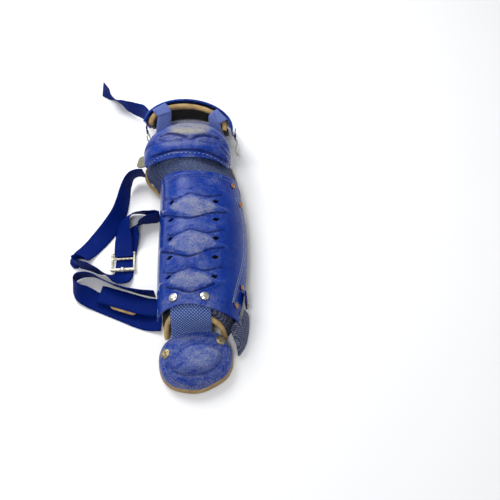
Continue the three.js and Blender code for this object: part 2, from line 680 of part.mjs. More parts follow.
// Thigh plate: it hangs from the knee with its outer face turned away.
const THIGH = {
  top: V(-21.5, 258, 98), // crown of the near edge
  yaw: -7,
  droop: 65, // degrees below level
  half: 80.5,
  deep: 49,
  long: 101,
};
const thighAcross = V(Math.cos(rad(THIGH.yaw)), Math.sin(rad(THIGH.yaw)), 0);
const thighAhead = V(-Math.sin(rad(THIGH.yaw)), Math.cos(rad(THIGH.yaw)), 0);
const thighAlong = thighAhead.clone().multiplyScalar(Math.cos(rad(THIGH.droop)));
thighAlong.z = -Math.sin(rad(THIGH.droop));
const thighOut = thighAcross.clone().cross(thighAlong).negate();
if (thighOut.z < 0) thighOut.negate();

// u: distance from the near edge; inset: distance inside the outer face.
function thighPoint(u, share, inset = 0, spread = 1) {
  const angle = share * (Math.PI / 2) * spread;
  const cut = 1 - 0.45 * Math.abs(share) ** 3;
  const deep = THIGH.deep - inset;
  return THIGH.top
    .clone()
    .addScaledVector(thighAlong, u > 0 ? u * cut : u)
    .addScaledVector(thighAcross, (THIGH.half - inset) * Math.sin(angle))
    .addScaledVector(thighOut, -inset - deep * (1 - Math.cos(angle)));
}
const THIGH_ROWS = [
  { u: 0, inset: 0 },
  { u: 3, inset: -1.6 },
  { u: 8, inset: 0 },
  { u: 38, inset: 0 },
  { u: 68, inset: 0 },
  { u: 92, inset: 0 },
  { u: THIGH.long, inset: 0 },
];
const thighShares = steps(16).map((t) => t * 2 - 1);
const thighOuter = THIGH_ROWS.map((row) => thighShares.map((share) => thighPoint(row.u, share, row.inset)));
const thighInner = THIGH_ROWS.map((row) => thighShares.map((share) => thighPoint(row.u, share, SHELL)));
add("thigh_plate", wall(thighOuter, thighInner), COLOURS.plastic);

const THIGH_PAD_THICK = 9;
const THIGH_PAD_GAP = SHELL + ELASTIC_THICK + 11 * CLEARANCE;
const padDepths = [-3, 6, 40, 84];
const thighPadOuter = padDepths.map((u) =>
  thighShares.map((share) => thighPoint(u, share, THIGH_PAD_GAP, 1.06)),
);
const thighPadInner = padDepths.map((u) =>
  thighShares.map((share) => thighPoint(u, share, THIGH_PAD_GAP + THIGH_PAD_THICK, 1.06)),
);
add("thigh_pad", wall(thighPadOuter, thighPadInner), COLOURS.leather);

// Two elastic links: from between the thigh plate and its pad, round the pad's rolled edge,
// to the far edge of the knee band, under the knee cap.
// thigh: place on the thigh plate's arch; knee: the rows from there to the knee band.
const LINK_WIDTH = 26;
const LINK_DEPTH = THIGH_PAD_GAP - 3 * CLEARANCE - ELASTIC_THICK / 2; // below the plate's outer face
const LINK_END = 164 + ELASTIC_THICK / 2 + 7 * CLEARANCE; // just past the knee band's far edge
const LINKS = [
  {
    name: "thigh_link_left",
    thigh: -0.54,
    knee: [
      { x: -73, y: 208, z: 62, turn: 33, lift: 12 },
      { x: -64, y: 192, z: 52, turn: 30, lift: 14 },
      { x: -57, y: 177, z: 58, turn: 15, lift: 26 },
      { x: -55, y: LINK_END, z: 84, turn: 0, lift: 36 },
    ],
  },
  {
    name: "thigh_link_right",
    thigh: 0.6,
    knee: [
      { x: 27, y: 199.5, z: 57, turn: -42, lift: -20 },
      { x: 22, y: 189, z: 43, turn: -38, lift: -18 },
      { x: 10, y: 177, z: 46, turn: -20, lift: -20 },
      { x: 3, y: 169, z: 62, turn: -5, lift: -24 },
      { x: 1, y: LINK_END, z: 84, turn: 0, lift: -26 },
    ],
  },
];
for (const { name, thigh, knee } of LINKS) {
  const atThigh = (u, inset) => {
    const point = thighPoint(u, thigh, inset);
    const side = thighPoint(u, thigh + 0.06, inset).sub(thighPoint(u, thigh - 0.06, inset)).normalize();
    const turn = (Math.atan2(side.y, side.x) * 180) / Math.PI;
    return { x: point.x, y: point.y, z: point.z, turn, lift: (Math.asin(side.z) * 180) / Math.PI };
  };
  const roll = THIGH_PAD_GAP + THIGH_PAD_THICK;
  const rows = [
    atThigh(12, LINK_DEPTH),
    atThigh(-1, LINK_DEPTH),
    atThigh(-3.8, LINK_DEPTH),
    atThigh(-6, THIGH_PAD_GAP - 0.2),
    atThigh(-6.4, roll - 3),
    atThigh(-6, roll + 6),
    ...knee,
  ];
  add(name, webbing(rows, 2, LINK_WIDTH, ELASTIC_THICK), COLOURS.elastic);
}

// Rivets.
const SIDE_RIVETS = [
  { y: 84, z: 74 },
  { y: 56, z: 58 },
  { y: -101, z: 50 },
  { y: -136, z: 58 },
];
const shareAtHeight = (y, z) => shareWhere((s) => shinPoint(y, s).z < z);
SIDE_RIVETS.forEach(({ y, z }, k) => {
  const share = shareAtHeight(y, z);
  const name = "side_rivet_right_" + (k + 1);
  rivet(name, shinPoint(y, share), sectionNormal(y, share), SIDE_RIVET_RADIUS, COLOURS.copper);
});
for (const [name, y, distance] of [
  ["instep_rivet_left", -138, -28],
  ["instep_rivet_right", -136, 25],
]) {
  const share = shareAt(distance);
  rivet(name, shinPoint(y, share), sectionNormal(y, share), RIVET_RADIUS, COLOURS.silver);
}

// Straps.
const CALF_STRAP = [
  { x: -105.8, y: 142, z: 31, turn: 80, lift: -82 },
  { x: -119.5, y: 144, z: 29, turn: 62, lift: -76 },
  { x: -130, y: 139, z: 27, turn: 50, lift: -70 },
  { x: -137, y: 124, z: 22, turn: 36, lift: -63 },
  { x: -141, y: 98, z: 18, turn: 15, lift: -55 },
  { x: -147, y: 70, z: 14, turn: 0, lift: -46 },
  { x: -160, y: 43, z: 9.5, turn: -15, lift: -30 },
  { x: -178, y: 18, z: 4.6, turn: -35, lift: -12 },
  { x: -193, y: 0, z: 2, turn: -48, lift: 0 },
  { x: -204, y: -13, z: 4.6, turn: -58, lift: 12 },
  { x: -213, y: -24, z: 11, turn: -72, lift: 44 },
  { x: -215, y: -33, z: 16, turn: -90, lift: 74 },
  { x: -207, y: -38, z: 17, turn: -105, lift: 86 },
  { x: -192, y: -42, z: 17, turn: -108, lift: 87 },
  { x: -176, y: -50, z: 17, turn: -112, lift: 84 },
  { x: -158, y: -57, z: 15.5, turn: -112, lift: 66 },
  { x: -143, y: -62, z: 10.4, turn: -84, lift: 35 },
  { x: -133, y: -57, z: 4.2, turn: -30, lift: 10 },
  { x: -131, y: -46, z: 1.4, turn: 0, lift: 0 },
  { x: -131, y: -30, z: 1.2, turn: 0, lift: 0 },
  { x: -129, y: -10, z: 1.8, turn: 0, lift: 3 },
  { x: -126, y: 8, z: 4, turn: -2, lift: 12 },
  { x: -122, y: 24, z: 9, turn: -10, lift: 30 },
  { x: -117, y: 38, z: 14, turn: -32, lift: 54 },
  { x: -107, y: 48, z: 17, turn: -62, lift: 76 },
  { x: -94, y: 53, z: 17, turn: -85, lift: 86 },
  { x: -81, y: 55, z: 17, turn: -90, lift: 87 },
  { x: -74.5, y: 59, z: 17, turn: -90, lift: 87 },
  { x: -81, y: 63, z: 17, turn: -90, lift: 84 },
  { x: -95, y: 65, z: 17, turn: -90, lift: 74 },
  { x: -111, y: 67, z: 16.5, turn: -88, lift: 64 },
  { x: -125, y: 64, z: 17, turn: -75, lift: 58 },
  { x: -134, y: 53, z: 18, turn: -52, lift: 50 },
  { x: -137, y: 39, z: 17, turn: -30, lift: 38 },
  { x: -136, y: 22, z: 13, turn: -15, lift: 20 },
  { x: -135, y: 6, z: 10, turn: -5, lift: 8 },
  { x: -134, y: -8, z: 9.6, turn: 0, lift: 1 },
  { x: -133, y: -19, z: 9.4, turn: 4, lift: 0 },
];
add("calf_strap", webbing(CALF_STRAP, 2), COLOURS.webbing);

const ANKLE_STRAP = [
  { x: -61.2, y: -142, z: 9, turn: -78, lift: -6 },
  { x: -80, y: -140, z: 4, turn: -80, lift: -3 },
  { x: -97, y: -135, z: 1.4, turn: -95, lift: 0 },
  { x: -125, y: -123, z: 1.2, turn: -110, lift: 0 },
  { x: -155, y: -110, z: 1.4, turn: -112, lift: 0 },
  { x: -176, y: -101, z: 4, turn: -112, lift: -8 },
  { x: -193, y: -94, z: 11.6, turn: -114, lift: -34 },
  { x: -206, y: -86, z: 16.8, turn: -128, lift: -66 },
  { x: -213, y: -74, z: 17.6, turn: -165, lift: -80 },
  { x: -209, y: -63, z: 17.6, turn: 140, lift: -82 },
  { x: -197, y: -58, z: 17, turn: 100, lift: -78 },
  { x: -181, y: -59, z: 16.5, turn: 84, lift: -74 },
  { x: -165, y: -67, z: 16.5, turn: 74, lift: -70 },
  { x: -147, y: -76, z: 16.5, turn: 68, lift: -70 },
  { x: -125, y: -84, z: 16.5, turn: 70, lift: -72 },
  { x: -100, y: -91, z: 17, turn: 74, lift: -78 },
  { x: -74, y: -95, z: 17, turn: 80, lift: -84 },
];
add("ankle_strap", webbing(ANKLE_STRAP, 3), COLOURS.webbing);

const ANKLE_STRAP_END = [
  { x: -68.2, y: -119.5, z: 14, turn: -96, lift: 0 },
  { x: -90, y: -116, z: 13, turn: -102, lift: 0 },
  { x: -112, y: -109, z: 12, turn: -108, lift: 0 },
  { x: -138, y: -101, z: 12, turn: -108, lift: 0 },
  { x: -157, y: -95, z: 12, turn: -106, lift: 0 },
  { x: -165, y: -93, z: 11.2, turn: -104, lift: 0 },
  { x: -168, y: -92, z: 8.8, turn: -104, lift: 0 },
  { x: -165, y: -93, z: 6.6, turn: -104, lift: 0 },
  { x: -157, y: -95, z: 6, turn: -104, lift: 0 },
];
add("ankle_strap_end", webbing(ANKLE_STRAP_END, 3), COLOURS.webbing);

const THIGH_STRAP = [
  { x: -103.3, y: 261.2, z: 42, turn: 60, lift: 78 },
  { x: -111, y: 275, z: 36, turn: 53, lift: 78 },
  { x: -120, y: 288, z: 27, turn: 53, lift: 80 },
  { x: -137, y: 301, z: 20, turn: 53, lift: 84 },
  { x: -154, y: 311, z: 17, turn: -127, lift: 84 },
  { x: -168, y: 321, z: 15, turn: -127, lift: 62 },
  { x: -179, y: 331, z: 15, turn: -127, lift: 64 },
  { x: -190, y: 342, z: 16.5, turn: 45, lift: 84 },
  { x: -202, y: 354, z: 16, turn: 45, lift: 72 },
];
add("thigh_strap", webbing(THIGH_STRAP, 3), COLOURS.webbing);

// Leather backing of the ankle strap's end: it shows along the webbing's lower edge.
const TAB_LENGTH = 52;
const TAB_WIDTH = 35;
function leatherTab(length, width, thick) {
  const half = width / 2;
  const outline = new THREE.Shape();
  outline.moveTo(-length / 2 + half * 0.6, -half);
  outline.lineTo(length / 2 - half * 0.6, -half);
  outline.quadraticCurveTo(length / 2, -half, length / 2, 0);
  outline.quadraticCurveTo(length / 2, half, length / 2 - half * 0.6, half);
  outline.lineTo(-length / 2 + half * 0.6, half);
  outline.quadraticCurveTo(-length / 2, half, -length / 2, 0);
  outline.quadraticCurveTo(-length / 2, -half, -length / 2 + half * 0.6, -half);
  return new THREE.ExtrudeGeometry(outline, { depth: thick, bevelEnabled: false, curveSegments: 5 });
}
const endTab = leatherTab(TAB_LENGTH, TAB_WIDTH, LEATHER);
endTab.rotateZ(rad(-18));
endTab.translate(-122, -108, 12 - WEBBING_THICK / 2 - CLEARANCE - LEATHER);
add("ankle_end_leather", back(solid(endTab)), COLOURS.leather);

// Slide buckle: a cast frame with a crossbar; its lower bar is thicker, with a knob.
const BUCKLE = { x: -134, y: -26, z: 5.6, width: 38, long: 33, wire: 1.7, low: 2.9, knob: 4.2, turn: 4 };
function slideBuckle() {
  const [w, l] = [BUCKLE.width / 2, BUCKLE.long / 2];
  const rod = (a, b, radius) => {
    const length = a.distanceTo(b);
    const piece = new THREE.CylinderGeometry(radius, radius, length, 6);
    piece.rotateX(Math.PI / 2);
    return solid(placed(piece, a.clone().add(b).multiplyScalar(0.5), b.clone().sub(a)));
  };
  const ball = (p, radius) => {
    const piece = new THREE.SphereGeometry(radius, 6, 5);
    piece.translate(p.x, p.y, p.z);
    return solid(piece);
  };
  const corner = (sx, sy) => V(sx * w, sy * l, 0);
  let frame = rod(corner(-1, 1), corner(1, 1), BUCKLE.wire);
  for (const sx of [-1, 1]) {
    frame = frame.add(rod(corner(sx, -1), corner(sx, 1), BUCKLE.wire));
    frame = frame.add(ball(corner(sx, 1), BUCKLE.wire * 1.05));
    frame = frame.add(ball(corner(sx, -1), BUCKLE.low * 1.05));
  }
  frame = frame.add(rod(corner(-1, -1), corner(1, -1), BUCKLE.low));
  frame = frame.add(rod(V(-w, l * 0.3, 0), V(w, l * 0.3, 0), BUCKLE.wire * 0.9));
  frame = frame.add(ball(V(-1, -l, 1), BUCKLE.knob));
  const geometry = back(frame);
  geometry.rotateZ(rad(BUCKLE.turn));
  geometry.translate(BUCKLE.x, BUCKLE.y, BUCKLE.z);
  return geometry;
}
add("slide_buckle", slideBuckle(), COLOURS.cream, 0.6);

// Toe rivets: large brass heads at the cap's upper corners.
const TOE_RIVET_RADIUS = 8;
for (const [name, x, y] of [
  ["toe_rivet_left", -46, 13],
  ["toe_rivet_right", 43, 20],
]) {
  const point = V(x, y, toeDome(x, y) - 1.6);
  const normal = V(0.01 * x, 0.001 * y, 1).normalize();
  const turned = (v) => v.clone().applyAxisAngle(V(0, 0, 1), rad(TOE_TURN));
  const seat = turned(point).add(TOE_CENTRE).addScaledVector(normal, 0.6);
  rivet(name, seat, turned(normal), TOE_RIVET_RADIUS, COLOURS.brass);
}

// Small leather and webbing tabs.
const kneeTab = back(solid(leatherTab(26, 22, LEATHER)));
add("knee_tab", placed(kneeTab, V(-107, 159, 41), V(-0.35, 0.1, 0.9), rad(80)), COLOURS.cream);

const ANKLE_TAB_SEAT = V(77.2, -114, 32);
const tabNormal = V(1, 0, 0.06).normalize();
const ankleTab = back(solid(leatherTab(38, 20, LEATHER)));
add("ankle_tab", placed(ankleTab, ANKLE_TAB_SEAT, tabNormal, 0), COLOURS.webbing);
const tabRivetSeat = ANKLE_TAB_SEAT.clone().addScaledVector(tabNormal, LEATHER).add(V(0, -10, 0));
rivet("ankle_tab_rivet", tabRivetSeat, tabNormal, SIDE_RIVET_RADIUS, COLOURS.brass);

// Wire hook at the thigh plate's right end and ring at its left, each on a short webbing tab.
const HOOK_TAB_WIDTH = 13;
const THIGH_HOOK = [
  { x: 59, y: 204.2, z: 54 },
  { x: 60, y: 199, z: 56 },
  { x: 62, y: 195, z: 53 },
  { x: 62, y: 196, z: 46 },
  { x: 60, y: 196, z: 38 },
  { x: 60, y: 194, z: 28 },
  { x: 62, y: 189, z: 22 },
  { x: 64, y: 185, z: 27 },
];
add("thigh_hook", bar(THIGH_HOOK.map((p) => V(p.x, p.y, p.z)), WIRE_RADIUS, 6, 3), COLOURS.silver, 0.9);
const HOOK_TAB = [
  { x: 57.6, y: 226, z: 46, turn: 0, lift: 84 },
  { x: 57.2, y: 214, z: 50, turn: 0, lift: 84 },
  { x: 59, y: 204.6, z: 54, turn: 0, lift: 84 },
];
add("thigh_hook_tab", webbing(HOOK_TAB, 2, HOOK_TAB_WIDTH), COLOURS.webbing);

const RING_RADIUS = 8;
const RING_SEAT = V(-101, 212, 45);
const ring = new THREE.TorusGeometry(RING_RADIUS, WIRE_RADIUS, 6, 16);
add("thigh_ring", placed(ring, RING_SEAT, V(1, 0, 0.25)), COLOURS.silver, 0.9);
const ringEdge = RING_SEAT.y + RING_RADIUS + WIRE_RADIUS + CLEARANCE;
const RING_TAB = [
  { x: -106.2, y: 242, z: 39, turn: 0, lift: 88 },
  { x: -106.4, y: 231, z: 42, turn: 0, lift: 88 },
  { x: -101.6, y: ringEdge, z: RING_SEAT.z, turn: 0, lift: 88 },
];
add("thigh_ring_tab", webbing(RING_TAB, 2, HOOK_TAB_WIDTH), COLOURS.webbing);

// The whole, centred over the origin.
const bounds = new THREE.Box3().setFromObject(group);
const centre = bounds.getCenter(V(0, 0, 0));
group.position.set(-centre.x, -centre.y, -bounds.min.z);

export default group;
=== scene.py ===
"""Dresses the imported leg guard: shells, padding, straps, metal and stitches, with camera and light."""
import math

import bpy
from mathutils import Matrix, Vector
from mathutils.bvhtree import BVHTree
from mathutils.kdtree import KDTree


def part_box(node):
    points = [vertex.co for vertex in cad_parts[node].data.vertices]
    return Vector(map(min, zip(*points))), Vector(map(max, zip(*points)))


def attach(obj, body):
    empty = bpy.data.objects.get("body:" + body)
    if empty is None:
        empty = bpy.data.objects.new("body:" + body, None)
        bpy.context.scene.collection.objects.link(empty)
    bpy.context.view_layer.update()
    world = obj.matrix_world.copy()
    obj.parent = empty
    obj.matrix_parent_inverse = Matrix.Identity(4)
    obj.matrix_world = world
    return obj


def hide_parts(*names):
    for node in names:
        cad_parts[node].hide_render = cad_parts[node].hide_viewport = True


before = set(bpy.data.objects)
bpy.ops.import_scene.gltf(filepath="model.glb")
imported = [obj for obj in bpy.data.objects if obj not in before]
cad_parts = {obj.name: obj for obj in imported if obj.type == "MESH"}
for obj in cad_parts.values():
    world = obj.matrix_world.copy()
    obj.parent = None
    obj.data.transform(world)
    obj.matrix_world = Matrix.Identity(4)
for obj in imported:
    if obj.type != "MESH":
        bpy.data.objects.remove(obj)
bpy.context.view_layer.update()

# The guard's own drawing is in millimetres about the middle of the shin; the buckle gives where it was put.
MM = 0.001
BUCKLE_CORNER = Vector((-155.8367, -46.8228, 3.0885))
SHIFT = Vector(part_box("slide_buckle")[0]) - BUCKLE_CORNER * MM


def own(x, y, z):
    return Vector((x, y, z)) * MM + SHIFT


# Camera: it looks down at 60 degrees, along the leg. Places of the picture run across and down from its
# upper left corner, PICTURE of them to a side.
LENS = 57.6
SENSOR = 36
PICTURE = 500
FOCAL = PICTURE * LENS / SENSOR
ELEVATION = math.radians(60)
DISTANCE = 1.4
TARGET = own(85, 0, 0)
EYE = TARGET + Vector((0, -math.cos(ELEVATION), math.sin(ELEVATION))) * DISTANCE
bpy.ops.object.camera_add(location=EYE, rotation=(math.pi / 2 - ELEVATION, 0, 0))
camera = bpy.context.object
camera.data.lens = LENS
camera.data.sensor_width = SENSOR
bpy.context.scene.camera = camera


# Handling.
def clear():
    if bpy.context.mode != "OBJECT":
        bpy.ops.object.mode_set(mode="OBJECT")
    bpy.ops.object.select_all(action="DESELECT")


def take_up(piece):
    clear()
    piece.select_set(True)
    bpy.context.view_layer.objects.active = piece


def modified(piece, kind, **settings):
    """Adds a modifier with these settings and applies it."""
    take_up(piece)
    added = piece.modifiers.new(kind.title(), kind)
    for name, value in settings.items():
        setattr(added, name, value)
    bpy.ops.object.modifier_apply(modifier=added.name)


def bevelled(piece, width, segments, angle):
    """Softens the edges sharper than the angle by so many millimetres."""
    limit = {"limit_method": "ANGLE", "angle_limit": math.radians(angle)}
    modified(piece, "BEVEL", width=width * MM, segments=segments, **limit)


WELD = 0.02
FLAT_ENOUGH = math.radians(70)


def copy_of(node):
    """The node's form as a piece of its own, its loose triangles merged into a skin."""
    piece = bpy.data.objects.new("finished_" + node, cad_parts[node].data.copy())
    bpy.context.scene.collection.objects.link(piece)
    take_up(piece)
    bpy.ops.object.mode_set(mode="EDIT")
    bpy.ops.mesh.select_all(action="SELECT")
    bpy.ops.mesh.remove_doubles(threshold=WELD * MM)
    bpy.ops.mesh.tris_convert_to_quads(face_threshold=FLAT_ENOUGH, shape_threshold=FLAT_ENOUGH)
    bpy.ops.object.mode_set(mode="OBJECT")
    bpy.ops.mesh.customdata_custom_splitnormals_clear()
    return piece


def smoothed(piece, levels=2, crease=0.0, sharp=50):
    """Rounds a piece; its sharp edges stay crisp by the crease."""
    take_up(piece)
    if crease:
        bpy.ops.object.mode_set(mode="EDIT")
        bpy.ops.mesh.select_mode(type="EDGE")
        bpy.ops.mesh.select_all(action="DESELECT")
        bpy.ops.mesh.edges_select_sharp(sharpness=math.radians(sharp))
        bpy.ops.transform.edge_crease(value=crease)
        bpy.ops.object.mode_set(mode="OBJECT")
    modified(piece, "SUBSURF", levels=levels, render_levels=levels)
    bpy.ops.object.shade_smooth()
    return piece


def skin(piece):
    return BVHTree.FromObject(piece, bpy.context.evaluated_depsgraph_get())


def seen(surface, px, py):
    """Where the line of sight through a place of the picture meets a surface."""
    right, up = (px - PICTURE / 2) / FOCAL, (PICTURE / 2 - py) / FOCAL
    ahead = Vector((0, math.cos(ELEVATION), -math.sin(ELEVATION)))
    above = Vector((0, math.sin(ELEVATION), math.cos(ELEVATION)))
    return surface.ray_cast(EYE, (ahead + above * up + Vector((right, 0, 0))).normalized())[0]


def seen_row(surface, places):
    """The places that the lines of sight meet, in their order."""
    return [spot for spot in (seen(surface, *place) for place in places) if spot]


def spline(points, share):
    """A point on the smooth curve through the points, the share running from 0 to 1."""
    place = share * (len(points) - 1)
    k = min(int(place), len(points) - 2)
    w = place - k
    b, c = points[k], points[k + 1]
    a = points[k - 1] if k > 0 else b * 2 - c
    d = points[k + 2] if k + 2 < len(points) else c * 2 - b
    before, between, after = (max((q - p).length ** 0.5, 1e-6) for p, q in ((a, b), (b, c), (c, d)))
    start = ((b - a) / before - (c - a) / (before + between) + (c - b) / between) * between
    end = ((c - b) / between - (d - b) / (between + after) + (d - c) / after) * between
    return (
        b * (2 * w**3 - 3 * w**2 + 1)
        + start * (w**3 - 2 * w**2 + w)
        + c * (3 * w**2 - 2 * w**3)
        + end * (w**3 - w**2)
    )


def woven(name, across, along, place, thick):
    """A sheet laid by place(side, share), side from -0.5 to 0.5; its UVs are its own flat metres."""
    clear()
    bpy.ops.mesh.primitive_grid_add(x_subdivisions=across, y_subdivisions=along, size=1)
    piece = bpy.context.object
    piece.name = name
    flat = {}
    shares = sorted({round(v.co.y + 0.5, 5) for v in piece.data.vertices})
    middle = [place(0.0, share) for share in shares]
    run = [0.0]
    for a, b in zip(middle, middle[1:]):
        run.append(run[-1] + (b - a).length)
    width = (place(0.5, 0.5) - place(-0.5, 0.5)).length
    for v in piece.data.vertices:
        side, share = v.co.x, round(v.co.y + 0.5, 5)
        flat[v.index] = (side * width, run[shares.index(share)])
        v.co = place(side, share)
    for loop, corner in zip(piece.data.loops, piece.data.uv_layers[0].data):
        corner.uv = flat[loop.vertex_index]
    piece.data.update()
    edge = {"edge_crease_inner": 0.6, "edge_crease_outer": 0.6, "edge_crease_rim": 0.6}
    modified(piece, "SOLIDIFY", thickness=thick * MM, offset=0, **edge)
    smoothed(piece, 1)
    return piece, width, run[-1]


WEBBING_THICK = 1.5
CELLS_ACROSS = 4
CELLS_A_ROW = 3


def strap(name, rows, width):
    """Webbing through rows of x, y, z, the plan turn of its width and how far that side is lifted."""
    points = [own(x, y, z) for x, y, z, _, _ in rows]
    sides = [
        Vector((math.cos(math.radians(lift)) * math.cos(math.radians(turn)),
                math.cos(math.radians(lift)) * math.sin(math.radians(turn)),
                math.sin(math.radians(lift))))
        for _, _, _, turn, lift in rows
    ]

    def place(side, share):
        spot = share * (len(rows) - 1)
        k = min(int(spot), len(rows) - 2)
        w = spot - k
        reach = sides[k].lerp(sides[k + 1], w * w * (3 - 2 * w))
        ahead = (spline(points, min(share + 0.002, 1)) - spline(points, max(share - 0.002, 0))).normalized()
        reach = (reach - ahead * reach.dot(ahead)).normalized()
        return spline(points, share) + reach * (side * width * MM)

    return woven(name, CELLS_ACROSS, (len(rows) - 1) * CELLS_A_ROW, place, WEBBING_THICK)


STEPS_A_SPAN = 12


def laid_on(surface, points, lift):
    """A curve through the points, brought onto the surface and lifted off it by so many millimetres."""
    line = []
    steps = STEPS_A_SPAN * (len(points) - 1)
    for k in range(steps + 1):
        spot, normal, _, _ = surface.find_nearest(spline(points, k / steps))
        line.append(spot + normal * (lift * MM))
    return line


def stitched(name, line, length, gap, thick=0.9):
    """Stitches along a line: one is modelled, repeated to the line's length and bent along it."""
    clear()
    bpy.ops.mesh.primitive_uv_sphere_add(segments=6, ring_count=4, radius=thick * MM / 2)
    row = bpy.context.object
    row.name = name
    bpy.ops.object.mode_set(mode="EDIT")
    bpy.ops.mesh.select_all(action="SELECT")
    bpy.ops.transform.resize(value=(length / thick, 1, 0.8))
    bpy.ops.transform.translate(value=(length * MM / 2, 0, 0))
    bpy.ops.object.mode_set(mode="OBJECT")
    path = bpy.data.curves.new(name + "_line", "CURVE")
    path.dimensions = "3D"
    strand = path.splines.new("POLY")
    strand.points.add(len(line) - 1)
    for point, spot in zip(strand.points, line):
        point.co = (*spot, 1)
    guide = bpy.data.objects.new(name + "_line", path)
    bpy.context.scene.collection.objects.link(guide)
    modified(row, "ARRAY", fit_type="FIT_CURVE", curve=guide, use_relative_offset=False,
             use_constant_offset=True, constant_offset_displace=((length + gap) * MM, 0, 0))
    modified(row, "CURVE", object=guide)
    bpy.ops.object.shade_smooth()
    bpy.data.objects.remove(guide)
    return row


# Grooves this deep or deeper are marked for the darkest painted shade.
FULL_SHADE_DEPTH = 1.5


def grooved(piece, line, depth, width):
    """Presses a groove into a piece and marks it for the finish to darken as painted shade; a negative depth
    raises a ridge and is not marked.
    """
    near = KDTree(len(line))
    for k, spot in enumerate(line):
        near.insert(spot, k)
    near.balance()
    marks = piece.data.attributes.get("pressed") or piece.data.attributes.new("pressed", "FLOAT", "POINT")
    moves = []
    for v in piece.data.vertices:
        gap = near.find(v.co)[2] / (width * MM)
        if gap < 1:
            share = (1 - gap * gap) ** 2
            moves.append((v, v.normal * (depth * MM * share)))
            if depth > 0:
                mark = marks.data[v.index]
                mark.value = max(mark.value, share * min(1, depth / FULL_SHADE_DEPTH))
    for v, move in moves:
        v.co -= move
    piece.data.update()


PRESSURE = 4
PUFFS = 20


def plumped(node, voxel, shrink, reach):
    """Padding blown up inside its cover by a cloth simulation; reach(spot) caps how far a spot may move."""
    piece = copy_of(node)
    modified(piece, "REMESH", mode="VOXEL", voxel_size=voxel * MM)
    modified(piece, "DISPLACE", strength=-shrink * MM, mid_level=0)
    take_up(piece)
    start = [v.co.copy() for v in piece.data.vertices]
    cloth = piece.modifiers.new("Cloth", "CLOTH")
    cloth.settings.use_pressure = True
    cloth.settings.uniform_pressure_force = PRESSURE
    cloth.settings.effector_weights.gravity = 0
    for step in range(1, PUFFS + 1):
        bpy.context.scene.frame_set(step)
    bpy.ops.object.modifier_apply(modifier=cloth.name)
    bpy.context.scene.frame_set(1)
    for v, spot in zip(piece.data.vertices, start):
        moved = v.co - spot
        most = reach(spot) * MM
        if moved.length > most:
            v.co = spot + moved * (most / moved.length)
    piece.data.update()
    modified(piece, "SMOOTH", factor=0.5, iterations=2)
    return smoothed(piece, 1)


# Finishes.
class Amount:
    """A socket to reckon with: an expression on it adds its Math nodes."""

    def __init__(self, finish, socket):
        self.finish = finish
        self.socket = socket

    def reckoned(self, operation, *values):
        return self.finish.amount("ShaderNodeMath", {"operation": operation}, dict(enumerate(values)))

    def __add__(self, other):
        return self.reckoned("ADD", self, other)

    __radd__ = __add__

    def __sub__(self, other):
        return self.reckoned("SUBTRACT", self, other)

    def __rsub__(self, other):
        return self.reckoned("SUBTRACT", other, self)

    def __mul__(self, other):
        return self.reckoned("MULTIPLY", self, other)

    __rmul__ = __mul__

    def __truediv__(self, other):
        return self.reckoned("DIVIDE", self, other)

    def __abs__(self):
        return self.reckoned("ABSOLUTE", self)

    def wave(self, pitch):
        """A wave from 0 to 1 that repeats at this pitch."""
        return self.reckoned("SINE", self * (2 * math.pi / pitch)) * 0.5 + 0.5

    def rise(self, low, high):
        """0 below low, 1 above high, smooth between."""
        inputs = {"Value": self, "From Min": low, "From Max": high}
        return self.finish.amount("ShaderNodeMapRange", {"interpolation_type": "SMOOTHSTEP"}, inputs)


